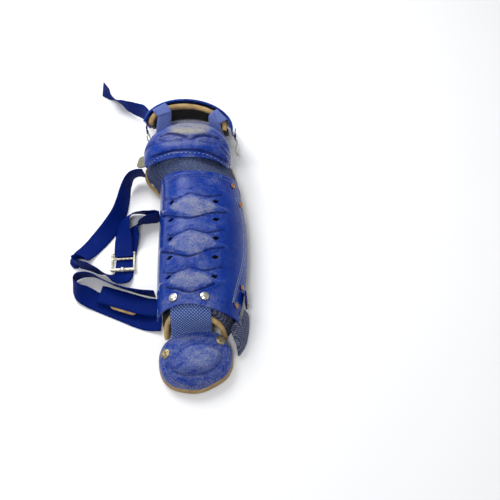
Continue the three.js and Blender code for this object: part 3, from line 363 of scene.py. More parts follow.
class Finish:
    """A material, with the nodes that its colour and relief need; self.own is the guard's own millimetres."""

    def __init__(self, name, roughness, metallic=0.0, shine=0.5):
        self.material = bpy.data.materials.new(name)
        self.material.use_nodes = True
        self.tree = self.material.node_tree
        self.shader = self.tree.nodes["Principled BSDF"]
        self.shader.inputs["Roughness"].default_value = roughness
        self.shader.inputs["Metallic"].default_value = metallic
        self.shader.inputs["Specular IOR Level"].default_value = shine
        self.height = None
        spot = self.node("ShaderNodeTexCoord", {}, {}).outputs["Object"]
        moved = self.vector("SUBTRACT", {0: spot, 1: tuple(SHIFT)})
        self.own = self.vector("SCALE", {0: moved, "Scale": 1 / MM})

    def node(self, kind, settings, inputs):
        node = self.tree.nodes.new(kind)
        for name, value in settings.items():
            setattr(node, name, value)
        for name, value in inputs.items():
            if isinstance(value, Amount):
                value = value.socket
            if isinstance(value, bpy.types.NodeSocket):
                self.tree.links.new(value, node.inputs[name])
            else:
                node.inputs[name].default_value = value
        return node

    def vector(self, operation, inputs):
        return self.node("ShaderNodeVectorMath", {"operation": operation}, inputs).outputs[0]

    def amount(self, kind, settings, inputs, out=0):
        return Amount(self, self.node(kind, settings, inputs).outputs[out])

    def axes(self, vector=None):
        split = self.node("ShaderNodeSeparateXYZ", {}, {0: vector or self.own})
        return [Amount(self, socket) for socket in split.outputs]

    def flat(self):
        """The piece's own flat millimetres, across and along."""
        spot = self.node("ShaderNodeUVMap", {}, {}).outputs[0]
        across, along, _ = self.axes(spot)
        return across * (1 / MM), along * (1 / MM)

    def stretched(self, x, y, z):
        return self.vector("MULTIPLY", {0: self.own, 1: (x, y, z)})

    def noise(self, size, detail=2, rough=0.5, vector=None):
        """Soft noise from about 0.3 to 0.7, its lumps about this many millimetres across."""
        inputs = {"Vector": vector or self.own, "Scale": 1 / size, "Detail": detail, "Roughness": rough}
        return self.amount("ShaderNodeTexNoise", {}, inputs)

    def cells(self, size):
        return self.amount("ShaderNodeTexVoronoi", {}, {"Vector": self.own, "Scale": 1 / size})

    def mixed(self, share, first, second):
        """The second colour over the first by the share."""
        inputs = {0: share, 6: self.colour(first), 7: self.colour(second)}
        return self.node("ShaderNodeMix", {"data_type": "RGBA"}, inputs).outputs[2]

    def colour(self, value):
        return (*value, 1) if isinstance(value, tuple) else value

    def raised(self, height, depth):
        """Adds relief of this depth in millimetres by a bump."""
        inputs = {"Height": height, "Distance": depth * MM, "Strength": 1.0}
        if self.height is not None:
            inputs["Normal"] = self.height
        self.height = self.node("ShaderNodeBump", {}, inputs).outputs[0]
        self.tree.links.new(self.height, self.shader.inputs["Normal"])

    def set(self, name, value):
        socket = value.socket if isinstance(value, Amount) else value
        self.tree.links.new(socket, self.shader.inputs[name])


PLASTIC_BLUE = (0.004, 0.034, 0.27)
PLASTIC_DEEP = (0.0008, 0.016, 0.18)
HAZE = (0.085, 0.125, 0.33)
SCUFF_PALE = (0.25, 0.26, 0.33)
SCUFF_TAN = (0.29, 0.27, 0.23)


def plastic(name, worn, scuff=SCUFF_PALE):
    """Moulded blue shell; worn(finish, x, y, z) tells how hard each place has been rubbed."""
    f = Finish(name, roughness=0.3, shine=0.12)
    x, y, z = f.axes()
    cloud = f.noise(46, 3)
    grain = f.noise(3.4, 6, 0.75)
    drag = f.noise(11, 6, 0.72, f.stretched(0.5, 1.2, 0.8))
    rub = worn(f, x, y, z)
    coarse = grain * 0.55 + drag * 0.45
    haze = (f.noise(17, 5, 0.65) + rub * 0.12).rise(0.42, 0.66) * (0.12 + 0.5 * rub)
    pale = (coarse + rub * 0.13).rise(0.5, 0.72) * (0.06 + 0.66 * rub)
    fleck = (f.noise(1.9, 4, 0.7) + rub * 0.08).rise(0.66, 0.74) * rub
    nick = f.noise(3.2, 5, 0.6, f.stretched(0.16, 1.6, 1)).rise(0.66, 0.72) * f.noise(60, 1).rise(0.5, 0.6)
    base = f.mixed(cloud.rise(0.35, 0.65), PLASTIC_DEEP, PLASTIC_BLUE)
    base = f.mixed(0.5, base, PLASTIC_BLUE)
    base = f.mixed(haze, base, HAZE)
    base = f.mixed(nick * 0.35, base, (0.1, 0.17, 0.5))
    base = f.mixed(pale, base, scuff)
    base = f.mixed(fleck * 0.4, base, (0.42, 0.42, 0.42))
    # Painted shade in the grooves: places marked by grooved() are darkened towards deep navy, broken up by
    # noise.
    pressed = f.amount("ShaderNodeAttribute", {"attribute_name": "pressed"}, {}, out="Fac")
    shade_breakup = f.noise(8, 3).rise(0.3, 0.6) * 0.35 + 0.55
    base = f.mixed(pressed.rise(0.1, 0.9) * shade_breakup, base, (0.002, 0.010, 0.09))
    f.set("Base Color", base)
    f.set("Roughness", 0.13 + 0.12 * cloud + 0.34 * pale + 0.14 * rub)
    f.raised(cloud, 1.2)
    f.raised(coarse * (0.15 + rub), 0.4)
    f.raised(nick, -0.12)
    return f.material


RIDGE_X = -8.5
PANELS = ((-132, -90), (-69, -21), (-1, 46))


def shin_wear(f, x, y, z):
    """Hardest on the three raised panels, less along the ridge between them."""
    d = abs(x - RIDGE_X)
    fade = 1 - d.rise(36, 50)
    stray = (f.noise(5, 4, 0.6) - 0.5) * 16
    worn = 0.0
    for low, high in PANELS:
        past_low = (y - low - d * d * 0.013 + stray).rise(0, 9)
        short_of_high = (high - y - d * d * 0.011 + stray).rise(0, 12)
        worn = worn + past_low * short_of_high
    across = 1 - d.rise(34, 58)
    lighter = f.noise(30, 2).rise(0.4, 0.6) * across * y.rise(-125, -95)
    low_end = across * (1 - y.rise(-138, -124))
    return worn * fade * 0.56 + lighter * 0.28 + across * 0.2 + low_end * 0.34


def round_wear(x, y, spot, half, turn=0.0):
    """An oval of wear about a spot, turned by so many degrees."""
    c, s = math.cos(math.radians(turn)), math.sin(math.radians(turn))
    across, along = x - spot[0], y - spot[1]
    u = (across * c + along * s) / half[0]
    v = (along * c - across * s) / half[1]
    return 1 - (u * u + v * v).rise(0.45, 1.15)


def knee_wear(f, x, y, z):
    top = round_wear(x, y, (-20, 180), (44, 21))
    middle = round_wear(x, y, (-22, 156), (66, 20))
    return top * 0.9 + middle * 0.3 + 0.26


def toe_wear(f, x, y, z):
    oval = round_wear(x, y, (2, -220), (41, 23), 14)
    right = round_wear(x, y, (14, -219), (26, 15), 14)
    return oval * 0.1 + right * 0.18 + 0.52


def thigh_wear(f, x, y, z):
    return f.noise(40, 2).rise(0.45, 0.7) * 0.3


def leather(name, base, dark, soil):
    f = Finish(name, roughness=0.62, shine=0.25)
    blotch = f.noise(14, 4, 0.6)
    pore = f.cells(1.5)
    dirt = f.noise(7, 5, 0.7).rise(0.55, 0.75)
    shade = f.mixed(blotch.rise(0.35, 0.68), dark, base)
    f.set("Base Color", f.mixed(dirt * 0.5, shade, soil))
    f.set("Roughness", 0.5 + 0.3 * blotch)
    f.raised(pore, 0.25)
    f.raised(f.noise(6, 3), 0.5)
    return f.material


LEG_AXIS = (-10, 30)
LEG_RADIUS = 72
CLOTH_PITCH = 3.6
FRAYED = (0.40, 0.42, 0.48)


def ballistic(name, light, dark, radial):
    """Coarse diagonal cloth; radial cloth is laid round the leg, the other lies flat."""
    f = Finish(name, roughness=0.75, shine=0.12)
    x, y, z = f.axes()
    if radial:
        from_axis = {0: x - LEG_AXIS[0], 1: z - LEG_AXIS[1]}
        u = f.amount("ShaderNodeMath", {"operation": "ARCTAN2"}, from_axis) * LEG_RADIUS
    else:
        u = z + 0.35 * x
    wander = f.noise(12, 2) * 1.2
    first = (u + y + wander).wave(CLOTH_PITCH)
    second = (u - y + wander).wave(CLOTH_PITCH)
    thread = first * second
    over = thread.rise(0.2, 0.55)
    faded = f.noise(22, 4, 0.6).rise(0.4, 0.7)
    shade = f.mixed(over, dark, light)
    rubbed = 1 - (abs(x + 12) - 42 + f.noise(9, 3) * 10).rise(0, 10) if radial else 0.0
    fray = (f.noise(1.6, 4, 0.7) + 0.06 * rubbed).rise(0.58, 0.72)
    shade = f.mixed(fray * (0.25 + 0.5 * faded + 0.2 * rubbed), shade, FRAYED)
    wrinkle = (u + f.noise(30, 3) * 34).wave(12) * (1 - rubbed)
    # Painted shade: the troughs of the wrinkles are darkened towards the dark colour.
    shade = f.mixed((1 - wrinkle).rise(0.6, 1) * 0.35, shade, dark)
    f.set("Base Color", shade)
    f.raised(thread, 0.5)
    f.raised(wrinkle, 1.1)
    f.raised(f.noise(16, 3, 0.6, f.stretched(1.4, 0.5, 1)), 2.0)
    return f.material


def elastic(name, light, dark, pitch):
    f = Finish(name, roughness=0.75, shine=0.12)
    x, y, z = f.axes()
    rib = (x + 0.2 * y).wave(pitch)
    pick = (y + z).wave(pitch * 0.8)
    heather = f.noise(1.8, 5, 0.7)
    f.set("Base Color", f.mixed((rib * pick * 0.6 + heather * 0.7).rise(0.3, 0.75), dark, light))
    f.raised(rib * pick, 0.35)
    return f.material


def twill(name, light, dark, pitch):
    """Coarse two-tone diagonal weave on the piece's flat sizes."""
    f = Finish(name, roughness=0.78, shine=0.12)
    across, along = f.flat()
    wander = f.noise(9, 2) * 1.0
    first = (across + along + wander).wave(pitch)
    second = (across - along + wander).wave(pitch)
    over = (first * second).rise(0.18, 0.42)
    heather = f.noise(1.5, 4, 0.7).rise(0.4, 0.65)
    shade = f.mixed(over, dark, light)
    f.set("Base Color", f.mixed(heather * 0.3, shade, (0.16, 0.24, 0.52)))
    f.raised(over, 0.6)
    return f.material


def webbing(name, base, dark):
    f = Finish(name, roughness=0.6, shine=0.05)
    across, along = f.flat()
    rib = along.wave(1.5)
    column = across.wave(2.4)
    edge = abs(across).rise(13.6, 14.6) * (1 - abs(across).rise(14.8, 15.6))
    worn = f.noise(30, 4, 0.6).rise(0.45, 0.7)
    shade = f.mixed(rib * 0.5 + column * 0.3, dark, base)
    shade = f.mixed(worn * 0.2, shade, (0.008, 0.035, 0.24))
    f.set("Base Color", f.mixed(edge * 0.35, shade, dark))
    f.set("Roughness", 0.5 + 0.15 * rib)
    f.raised(rib * 0.7 + column * 0.3, 0.3)
    f.raised(edge, -0.2)
    return f.material


def metal(name, base, dull, roughness, metallic=1.0):
    f = Finish(name, roughness=roughness, metallic=metallic)
    stain = f.noise(3, 5, 0.65)
    rub = f.noise(1.2, 4, 0.7)
    f.set("Base Color", f.mixed(stain.rise(0.4, 0.65), base, dull))
    f.set("Roughness", roughness + 0.35 * stain.rise(0.45, 0.7))
    f.raised(rub, 0.06)
    f.raised(f.noise(5, 2), 0.12)
    return f.material


def thread(name, base):
    f = Finish(name, roughness=0.7, shine=0.15)
    twist = f.noise(0.8, 3, 0.6)
    f.set("Base Color", f.mixed(twist.rise(0.35, 0.7), tuple(c * 0.6 for c in base), base))
    f.raised(twist, 0.15)
    return f.material


FINISHES = {
    "shin": plastic("shin shell plastic", shin_wear),
    "knee": plastic("knee shell plastic", knee_wear, SCUFF_TAN),
    "toe": plastic("toe shell plastic", toe_wear, (0.30, 0.32, 0.38)),
    "thigh": plastic("thigh shell plastic", thigh_wear),
    "tan": leather("tan leather", (0.44, 0.30, 0.13), (0.29, 0.18, 0.07), (0.10, 0.06, 0.035)),
    # A lighter copy of the tan leather for the ankle roll: painted light, as the roll lies in shade.
    "painted light tan": leather("tan leather with painted light", (0.66, 0.47, 0.21), (0.46, 0.30, 0.12), (0.16, 0.10, 0.05)),
    "cream": leather("cream leather", (0.25, 0.235, 0.17), (0.16, 0.15, 0.10), (0.09, 0.08, 0.06)),
    # Near black leather, used as painted shade on faces that lie in deep shade.
    "painted_shade": leather(
        "dark lining", (0.0012, 0.0012, 0.0016), (0.0006, 0.0006, 0.0008), (0.0004, 0.0004, 0.0004)
    ),
    "cloth": ballistic("ballistic cloth", (0.145, 0.185, 0.31), (0.024, 0.038, 0.11), True),
    "wing": ballistic("wing cloth", (0.23, 0.24, 0.32), (0.035, 0.045, 0.10), False),
    "elastic": elastic("link elastic", (0.17, 0.22, 0.50), (0.085, 0.12, 0.34), 2.2),
    "twill": twill("instep twill", (0.25, 0.33, 0.56), (0.018, 0.05, 0.24), 5.2),
    "webbing": webbing("navy webbing", (0.0008, 0.0155, 0.175), (0.0004, 0.0075, 0.10)),
    "copper": metal("copper", (0.55, 0.27, 0.12), (0.22, 0.11, 0.05), 0.42),
    "nickel": metal("nickel", (0.78, 0.75, 0.66), (0.35, 0.31, 0.24), 0.3),
    "brass": metal("aged brass", (0.48, 0.40, 0.24), (0.16, 0.13, 0.08), 0.48),
    "buckle": metal("cream metal", (0.80, 0.76, 0.62), (0.40, 0.36, 0.24), 0.35, 0.35),
    "pale thread": thread("pale thread", (0.42, 0.48, 0.62)),
    "dark thread": thread("dark thread", (0.015, 0.025, 0.07)),
    "tan thread": thread("tan thread", (0.50, 0.38, 0.17)),
    "light blue thread": thread("light blue thread", (0.13, 0.33, 0.62)),
}


def fitted(piece, finish, slot, *nodes):
    """Gives a piece its finish, its body and the nodes that it stands for; the slot is not used."""
    piece.data.materials.clear()
    piece.data.materials.append(FINISHES[finish])
    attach(piece, "root")
    if nodes:
        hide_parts(*nodes)


def lined(piece, finish, covered):
    """Gives the covered faces another finish."""
    piece.data.materials.append(FINISHES[finish])
    for face in piece.data.polygons:
        if covered(face.center, face.normal):
            face.material_index = len(piece.data.materials) - 1


# Shells. Their moulded lines are places of the picture, each line with its depth and width in millimetres.
# The shin plate has a groove above and below each worn panel, some with a finer one beside them, a hem by
# its upper edge and a low fold on its right.
PANEL_LINES = (
    (1.7, 3.4, (
        (164, 199.4), (174.7, 199.2), (182.1, 195.5), (190.3, 192.6), (198.9, 194.5), (207.4, 196.3),
        (222, 195.3),
    )),
    (1.7, 3.4, (
        (162, 217.3), (169.5, 216.4), (176.8, 216.8), (189.5, 218.2), (198.9, 216.1), (208.4, 213.4),
        (226, 212.6),
    )),
    (0.8, 2.4, (
        (165.3, 212.9), (171.6, 213.2), (182.1, 214.5), (189.5, 214.7), (203.2, 211.8), (216.8, 208.7),
    )),
    (1.7, 3.4, (
        (161, 235.4), (172.6, 235.3), (182.1, 231.3), (190.5, 228.2), (198.9, 230.5), (207.4, 232.4),
        (224.7, 229.7),
    )),
    (1.7, 3.4, (
        (161.6, 253.2), (171.6, 253.2), (180, 255.3), (188.4, 256.4), (198.9, 253.4), (208.4, 249.7),
        (223.7, 247.6),
    )),
    (0.8, 2.4, (
        (166.3, 248.7), (175.8, 250.8), (186.3, 252.9), (198.9, 249.2), (212.6, 245),
    )),
    (1.7, 3.4, (
        (163.2, 272.4), (172.6, 273.4), (182.1, 269.2), (190.5, 266.3), (198.9, 268.7), (205.3, 270.3),
        (222, 267.1),
    )),
    (1.7, 3.4, (
        (166.8, 287.6), (177.9, 289.7), (185.3, 291.8), (192.6, 291.8), (203.2, 288.2), (214.7, 283.9),
    )),
    (0.8, 2.4, (
        (174.7, 287.6), (185.3, 289.2), (194.7, 288.7), (204.2, 285),
    )),
    (0.6, 2.6, (
        (176.8, 188.7), (188.4, 189.2), (198.9, 186.1), (208.4, 185.5), (217.9, 190.3), (222, 194.5),
    )),
    (0.8, 2.4, (
        (162.6, 182.9), (171.6, 178.2), (182.1, 175.5), (194.7, 174.5), (207.4, 174.7), (220, 177.1),
        (231, 181),
    )),
    (0.9, 2.6, (
        (222.4, 193.5), (223, 199.5),
    )),
    (-0.9, 2.6, (
        (220.6, 251), (220, 259), (220.4, 266),
    )),
)
# The knee cap's creases, and the swellings beside them.
CREASES = (
    (1.8, 4.5, (
        (160.3, 136.7), (168.1, 133.9), (176.5, 134.3), (183.5, 136.4), (190.5, 138.5), (196.1, 136.7),
        (203.1, 135.7), (210.8, 136.4), (219.2, 138.8),
    )),
    (-1.3, 4, (
        (161, 138.6), (168.1, 136.4), (176, 137), (182, 138.6),
    )),
    (-1.3, 4, (
        (199, 138.8), (206, 138.2), (213, 139.6),
    )),
    (1.0, 3.5, (
        (159.6, 140.6), (168.1, 140.8), (175, 140), (182, 140),
    )),
    (1.0, 3.5, (
        (199.6, 141.2), (207.3, 141.9), (215.7, 143.9),
    )),
    (1.7, 4, (
        (152.6, 156.7), (161, 154.2), (171.5, 151.4), (182, 150.4), (196, 150.4), (206.6, 152.4),
        (217.1, 156.7), (226.2, 162.3), (230, 165.4),
    )),
    (1.6, 4, (
        (221.3, 146.9), (226.2, 153.2), (230, 158.8),
    )),
    (-0.8, 4, (
        (218, 147.5), (222.5, 153.5), (227, 160),
    )),
)
OVAL_MIDDLE = (196, 358.5)
OVAL_HALF = (27, 16.5)
OVAL_STEPS = 24


def oval_place(step):
    """A place on the rim of the toe cap's raised oval, which lies a little turned."""
    angle = 2 * math.pi * step / OVAL_STEPS
    across, along = OVAL_HALF[0] * math.cos(angle), OVAL_HALF[1] * math.sin(angle)
    return OVAL_MIDDLE[0] + across * 0.97 + along * 0.17, OVAL_MIDDLE[1] - across * 0.22 + along


OVAL = [oval_place(step) for step in range(OVAL_STEPS + 1)]
# The lower half of the oval's rim is pressed a second time, which deepens it and adds painted shade along the
# oval's lower edge.
OVAL_LINES = ((0.45, 4, OVAL), (0.8, 4, OVAL[1:13]))
THIGH_LINES = (
    (0.9, 2.2, (
        (148.5, 120), (155, 113.5), (163, 107.2), (175, 101.8), (188, 100.1), (205, 103), (218, 109.5),
        (228, 119), (234, 129),
    )),
)


def shell(node, finish, crease, lines, sharp=50):
    """Finishes a moulded shell and gives its new skin, for what is sewn on it."""
    piece = smoothed(copy_of(node), 3, crease, sharp)
    surface = skin(piece)
    for depth, width, places in lines:
        # Every groove of positive depth is also marked for painted shade in the finish.
        grooved(piece, laid_on(surface, seen_row(surface, places), 0), depth, width)
    fitted(piece, finish, "blue_plastic", node)
    return skin(piece)


shin_skin = shell("shin_plate", "shin", 0.7, PANEL_LINES)
knee_skin = shell("knee_cap", "knee", 0.7, CREASES, sharp=60)
toe_skin = shell("toe_cap", "toe", 0.6, OVAL_LINES)
shell("thigh_plate", "thigh", 0.7, THIGH_LINES)

# Padding.
LINER_AXIS = own(-4, 0, 15)
WING_CORNER = own(20, -146, 0)


def outer(centre, normal):
    """The liner's outer face, which the shin plate covers."""
    out = centre - LINER_AXIS
    out.y = 0
    return normal.dot(out.normalized()) > 0.25


def by_wing(centre, normal):
    """The end of the outer face that carries the ankle wing's cloth."""
    return outer(centre, normal) and centre.y < WING_CORNER.y and centre.x > WING_CORNER.x


liner = smoothed(copy_of("shin_liner"), 2, 0.4)
fitted(liner, "tan", "tan_leather", "shin_liner")
# The liner's outer face under the shin plate, seen only through the vent holes, is painted near black as
# painted shade.
lined(liner, "painted_shade", outer)
lined(liner, "wing", by_wing)

PAD_EDGE = own(-21.5, 258, 98)
PAD_AHEAD = Vector((0.12, 0.42, -0.90))
PAD_FACING = Vector((0, -0.8, -0.6))
ROLLED = 3.5


def behind_roll(centre, normal):
    """The thigh pad's inner face, past its rolled edge."""
    return (centre - PAD_EDGE).dot(PAD_AHEAD) > ROLLED * MM and normal.dot(PAD_FACING) > -0.1


for node, finish, crease, fill in (
    # The ankle roll gets the tan leather painted lighter, as painted light.
    ("ankle_roll", "painted light tan", 0, 0.9),
    ("thigh_pad", "tan", 0.3, 0.6),
    ("toe_pad", "tan", 0.3, 0.5),
    ("knee_binding_left", "tan", 0.3, 0.8),
    ("knee_binding_right", "tan", 0.3, 0.8),
):
    pad = smoothed(copy_of(node), 2, crease)
    fitted(pad, finish, "tan_leather", node)
    if node == "thigh_pad":
        # The thigh pad's inner face past the roll is painted near black: painted shade in the gap behind the
        # roll.
        lined(pad, "painted_shade", behind_roll)

BAND_Y = (94, 163)
BAND_LEAST = 1.2
BAND_MORE = 1.6


def band_reach(spot):
    """How far the knee band may swell: least by its rims, so that it stays under the shells."""
    y = (spot - SHIFT).y / MM
    past_near = min(1, max(0, (y - BAND_Y[0]) / 10))
    short_of_far = min(1, max(0, (BAND_Y[1] - y) / 12))
    return BAND_LEAST + BAND_MORE * past_near * short_of_far


band = plumped("knee_band", 3.0, 0.8, band_reach)
fitted(band, "cloth", "grey_blue_cloth", "knee_band")

wing = plumped("ankle_wing", 2.5, 0.6, lambda spot: 1.6)
fitted(wing, "wing", "grey_blue_cloth", "ankle_wing")

# Elastic.
for node in ("thigh_link_left", "thigh_link_right"):
    link = smoothed(copy_of(node), 2, 0.5)
    fitted(link, "elastic", "blue_elastic", node)

# The instep elastic's middle line: y, z, how fast its sides fall away and how far its right side lies ahead.
INSTEP_X = -8
INSTEP_WIDTH = 64
INSTEP_THICK = 2.4
INSTEP = (
    (-123, 89.6, 0.0056, 0), (-135, 88, 0.0056, 0), (-150, 85.6, 0.0052, 0), (-158, 82, 0.0045, 0.02),
    (-166, 72, 0.0032, 0.05), (-171, 56, 0.0026, 0.1), (-176, 43, 0.0040, 0.2), (-183, 41, 0.0048, 0.2),
    (-192, 39.4, 0.0050, 0.2),
)


def instep_place(side, share):
    across = side * INSTEP_WIDTH
    rows = [
        own(INSTEP_X + across, y + skew * across, z - bow * across**2 - INSTEP_THICK / 2)
        for y, z, bow, skew in INSTEP
    ]
    return spline(rows, share)


instep, width, length = woven("finished_instep_band", 12, 32, instep_place, INSTEP_THICK)
fitted(instep, "twill", "blue_elastic", "instep_band")

# Straps: x, y and z of the middle line, then the turn and the lift of the width.
STRAP_WIDTH = 32
TAPE_WIDTH = 13
CALF_STRAP = (
    (-105.8, 142, 31, 80, -82), (-119.5, 144, 29, 62, -76), (-130, 139, 27, 50, -70),
    (-137, 124, 22, 36, -63), (-141, 98, 18, 15, -55), (-147, 70, 14, 0, -46), (-160, 43, 9.5, -15, -30),
    (-178, 18, 4.6, -35, -12), (-193, 0, 2, -48, 0), (-204, -13, 4.6, -58, 12), (-213, -24, 11, -72, 44),
    (-215, -33, 16, -90, 74), (-207, -38, 17, -105, 86), (-192, -42, 17, -108, 87),
    (-176, -50, 17, -112, 84), (-158, -57, 15.5, -112, 66), (-143, -62, 10.4, -84, 35),
    (-133, -57, 4.2, -30, 10), (-131, -46, 1.4, 0, 0), (-131, -30, 1.2, 0, 0), (-129, -10, 1.8, 0, 3),
    (-126, 8, 4, -2, 12), (-122, 24, 9, -10, 30), (-117, 38, 14, -32, 54), (-107, 48, 17, -62, 76),
    (-94, 53, 17, -85, 86), (-81, 55, 17, -90, 87), (-74.5, 59, 17, -90, 87), (-81, 63, 17, -90, 84),
    (-95, 65, 17, -90, 74), (-111, 67, 16.5, -88, 64), (-125, 64, 17, -75, 58), (-134, 53, 18, -52, 50),
    (-137, 39, 17, -30, 38), (-136, 22, 13, -15, 20), (-135, 6, 10, -5, 8), (-134, -8, 9.6, 0, 1),
    (-133, -19, 9.4, 4, 0),
)
ANKLE_STRAP = (
    (-61.2, -142, 9, -78, -6), (-80, -140, 4, -80, -3), (-97, -135, 1.4, -95, 0),
    (-125, -123, 1.2, -110, 0), (-155, -110, 1.4, -112, 0), (-176, -101, 4, -112, -8),
    (-193, -94, 11.6, -114, -34), (-206, -86, 16.8, -128, -66), (-213, -74, 17.6, -165, -80),
    (-209, -63, 17.6, 140, -82), (-197, -58, 17, 100, -78), (-181, -59, 16.5, 84, -74),
    (-165, -67, 16.5, 74, -70), (-147, -76, 16.5, 68, -70), (-125, -84, 16.5, 70, -72),
    (-100, -91, 17, 74, -78), (-74, -95, 17, 80, -84),
)
ANKLE_STRAP_END = (
    (-68.2, -119.5, 14, -96, 0), (-90, -116, 13, -102, 0), (-112, -109, 12, -108, 0),
    (-138, -101, 12, -108, 0), (-157, -95, 12, -106, 0), (-165, -93, 11.2, -104, 0),
    (-168, -92, 8.8, -104, 0), (-165, -93, 6.6, -104, 0), (-157, -95, 6, -104, 0),
)
THIGH_STRAP = (
    (-103.3, 261.2, 42, 60, 78), (-111, 275, 36, 53, 78), (-120, 288, 27, 53, 80),
    (-137, 301, 20, 53, 84), (-154, 311, 17, -127, 84), (-168, 321, 15, -127, 62),
    (-179, 331, 15, -127, 64), (-190, 342, 16.5, 45, 84), (-202, 354, 16, 45, 72),
)
HOOK_TAB = ((57.6, 226, 46, 0, 84), (57.2, 214, 50, 0, 84), (59, 204.6, 54, 0, 84))
RING_TAB = ((-106.2, 242, 39, 0, 88), (-106.4, 231, 42, 0, 88), (-101.6, 221.9, 45, 0, 88))
straps = {}
for node, rows, wide, held, under in (
    ("calf_strap", CALF_STRAP, STRAP_WIDTH, "laid", ["slide_buckle", "shin_liner"]),
    ("ankle_strap", ANKLE_STRAP, STRAP_WIDTH, "laid", ["shin_liner"]),
    ("ankle_strap_end", ANKLE_STRAP_END, STRAP_WIDTH, "laid", ["ankle_end_leather", "shin_liner"]),
    ("thigh_strap", THIGH_STRAP, STRAP_WIDTH, "laid", ["thigh_plate"]),
    ("thigh_hook_tab", HOOK_TAB, TAPE_WIDTH, "hung", ["thigh_pad"]),
    ("thigh_ring_tab", RING_TAB, TAPE_WIDTH, "hung", ["thigh_pad"]),
):
    made, width, length = strap("finished_" + node, rows, wide)
    fitted(made, "webbing", "navy_webbing", node)
    straps[node] = made

# Leather and webbing tabs.
def tab_of(node, edge):
    """A flat tab, its cut edges softened by so many millimetres."""
    tab = copy_of(node)
    bevelled(tab, edge, 2, 50)
    bpy.ops.object.shade_smooth_by_angle(angle=math.radians(35))
    return tab


fitted(tab_of("ankle_end_leather", 0.7), "tan", "tan_leather", "ankle_end_leather")
fitted(tab_of("knee_tab", 0.7), "cream", "cream_leather", "knee_tab")
tab = tab_of("ankle_tab", 0.5)
bpy.ops.object.mode_set(mode="EDIT")
bpy.ops.mesh.select_all(action="SELECT")
bpy.ops.uv.cube_project(cube_size=1)
bpy.ops.object.mode_set(mode="OBJECT")
fitted(tab, "webbing", "navy_webbing", "ankle_tab")

# Buckle, hook and ring.
buckle = copy_of("slide_buckle")
modified(buckle, "REMESH", mode="VOXEL", voxel_size=0.55 * MM)
modified(buckle, "SMOOTH", factor=0.5, iterations=4)
modified(buckle, "DISPLACE", strength=0.5 * MM, mid_level=0)
bpy.ops.object.shade_smooth()
fitted(buckle, "buckle", "cream_metal", "slide_buckle")
for node in ("thigh_hook", "thigh_ring"):
    fitted(smoothed(copy_of(node), 2), "nickel", "nickel", node)


# Rivets.
HEAD_SIDES = 24
# Each step of a head: how far it is inset and how far it rises, as shares of the radius and the height.
HEAD_STEPS = ((0.14, 0.0), (0.2, 0.34), (0.2, 0.2))
MIDDLE_STEP = (0.22, 0.1)


def top_first(face):
    return len(face.vertices) == HEAD_SIDES and face.normal.z > 0.9, face.center.z


def rivet_head(node, finish, slot, dish=0.0):
    """A turned head on the node's base disc: rim, dome, and for the large ones a pressed middle."""
    faces = {}
    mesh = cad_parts[node].data
    for face in mesh.polygons:
        facing = tuple(round(c, 2) for c in face.normal)
        faces.setdefault(facing, []).append(face)
    disc = max(faces.values(), key=lambda group: sum(face.area for face in group))
    axis = -disc[0].normal
    corners = [mesh.vertices[v].co for face in disc for v in face.vertices]
    seat = sum((face.center * face.area for face in disc), Vector()) / sum(face.area for face in disc)
    radius = max((c - seat).length for c in corners)
    top = max((v.co - seat).dot(axis) for v in mesh.vertices)
    clear()
    rim = top * 0.35
    middle = (0, 0, rim / 2)
    bpy.ops.mesh.primitive_cylinder_add(vertices=HEAD_SIDES, radius=radius, depth=rim, location=middle)
    head = bpy.context.object
    head.name = "finished_" + node
    bpy.ops.object.mode_set(mode="EDIT")
    for inset, rise in (*HEAD_STEPS, (MIDDLE_STEP[0], MIDDLE_STEP[1] - dish)):
        bpy.ops.mesh.select_mode(type="FACE")
        bpy.ops.mesh.select_all(action="DESELECT")
        bpy.ops.object.mode_set(mode="OBJECT")
        max(head.data.polygons, key=top_first).select = True
        bpy.ops.object.mode_set(mode="EDIT")
        bpy.ops.mesh.inset(thickness=inset * radius, depth=rise * top)
    bpy.ops.object.mode_set(mode="OBJECT")
    turn = axis.to_track_quat("Z", "Y").to_matrix().to_4x4()
    turn.translation = seat
    bpy.context.view_layer.update()
    head.data.transform(turn @ head.matrix_world)
    head.matrix_world.identity()
    head.location = (0, 0, 0)
    bevelled(head, 0.25, 1, 55)
    smoothed(head, 1)
    fitted(head, finish, slot, node)


for k in range(1, 5):
    rivet_head(f"side_rivet_right_{k}", "copper", "copper")
for side in ("left", "right"):
    rivet_head(f"instep_rivet_{side}", "nickel", "nickel", 0.1)
    rivet_head(f"toe_rivet_{side}", "brass", "aged_brass", 0.3)
rivet_head("ankle_tab_rivet", "brass", "aged_brass")


# Stitches.
def sewn(name, line, colour, slot, **sizes):
    """Stitches that belong to no node; sizes are the stitch's length, gap and thickness."""
    fitted(stitched(name, line, **sizes), colour, slot)


HEM = (
    (163.4, 186), (171.6, 180.8), (182.1, 177.8), (194.7, 176.6), (207.4, 177), (220, 179.4), (230.5, 183),
)
hem = laid_on(shin_skin, seen_row(shin_skin, HEM), 0.3)
sewn("plate_hem_stitches", hem, "dark thread", "navy_webbing", length=3.4, gap=2.2)

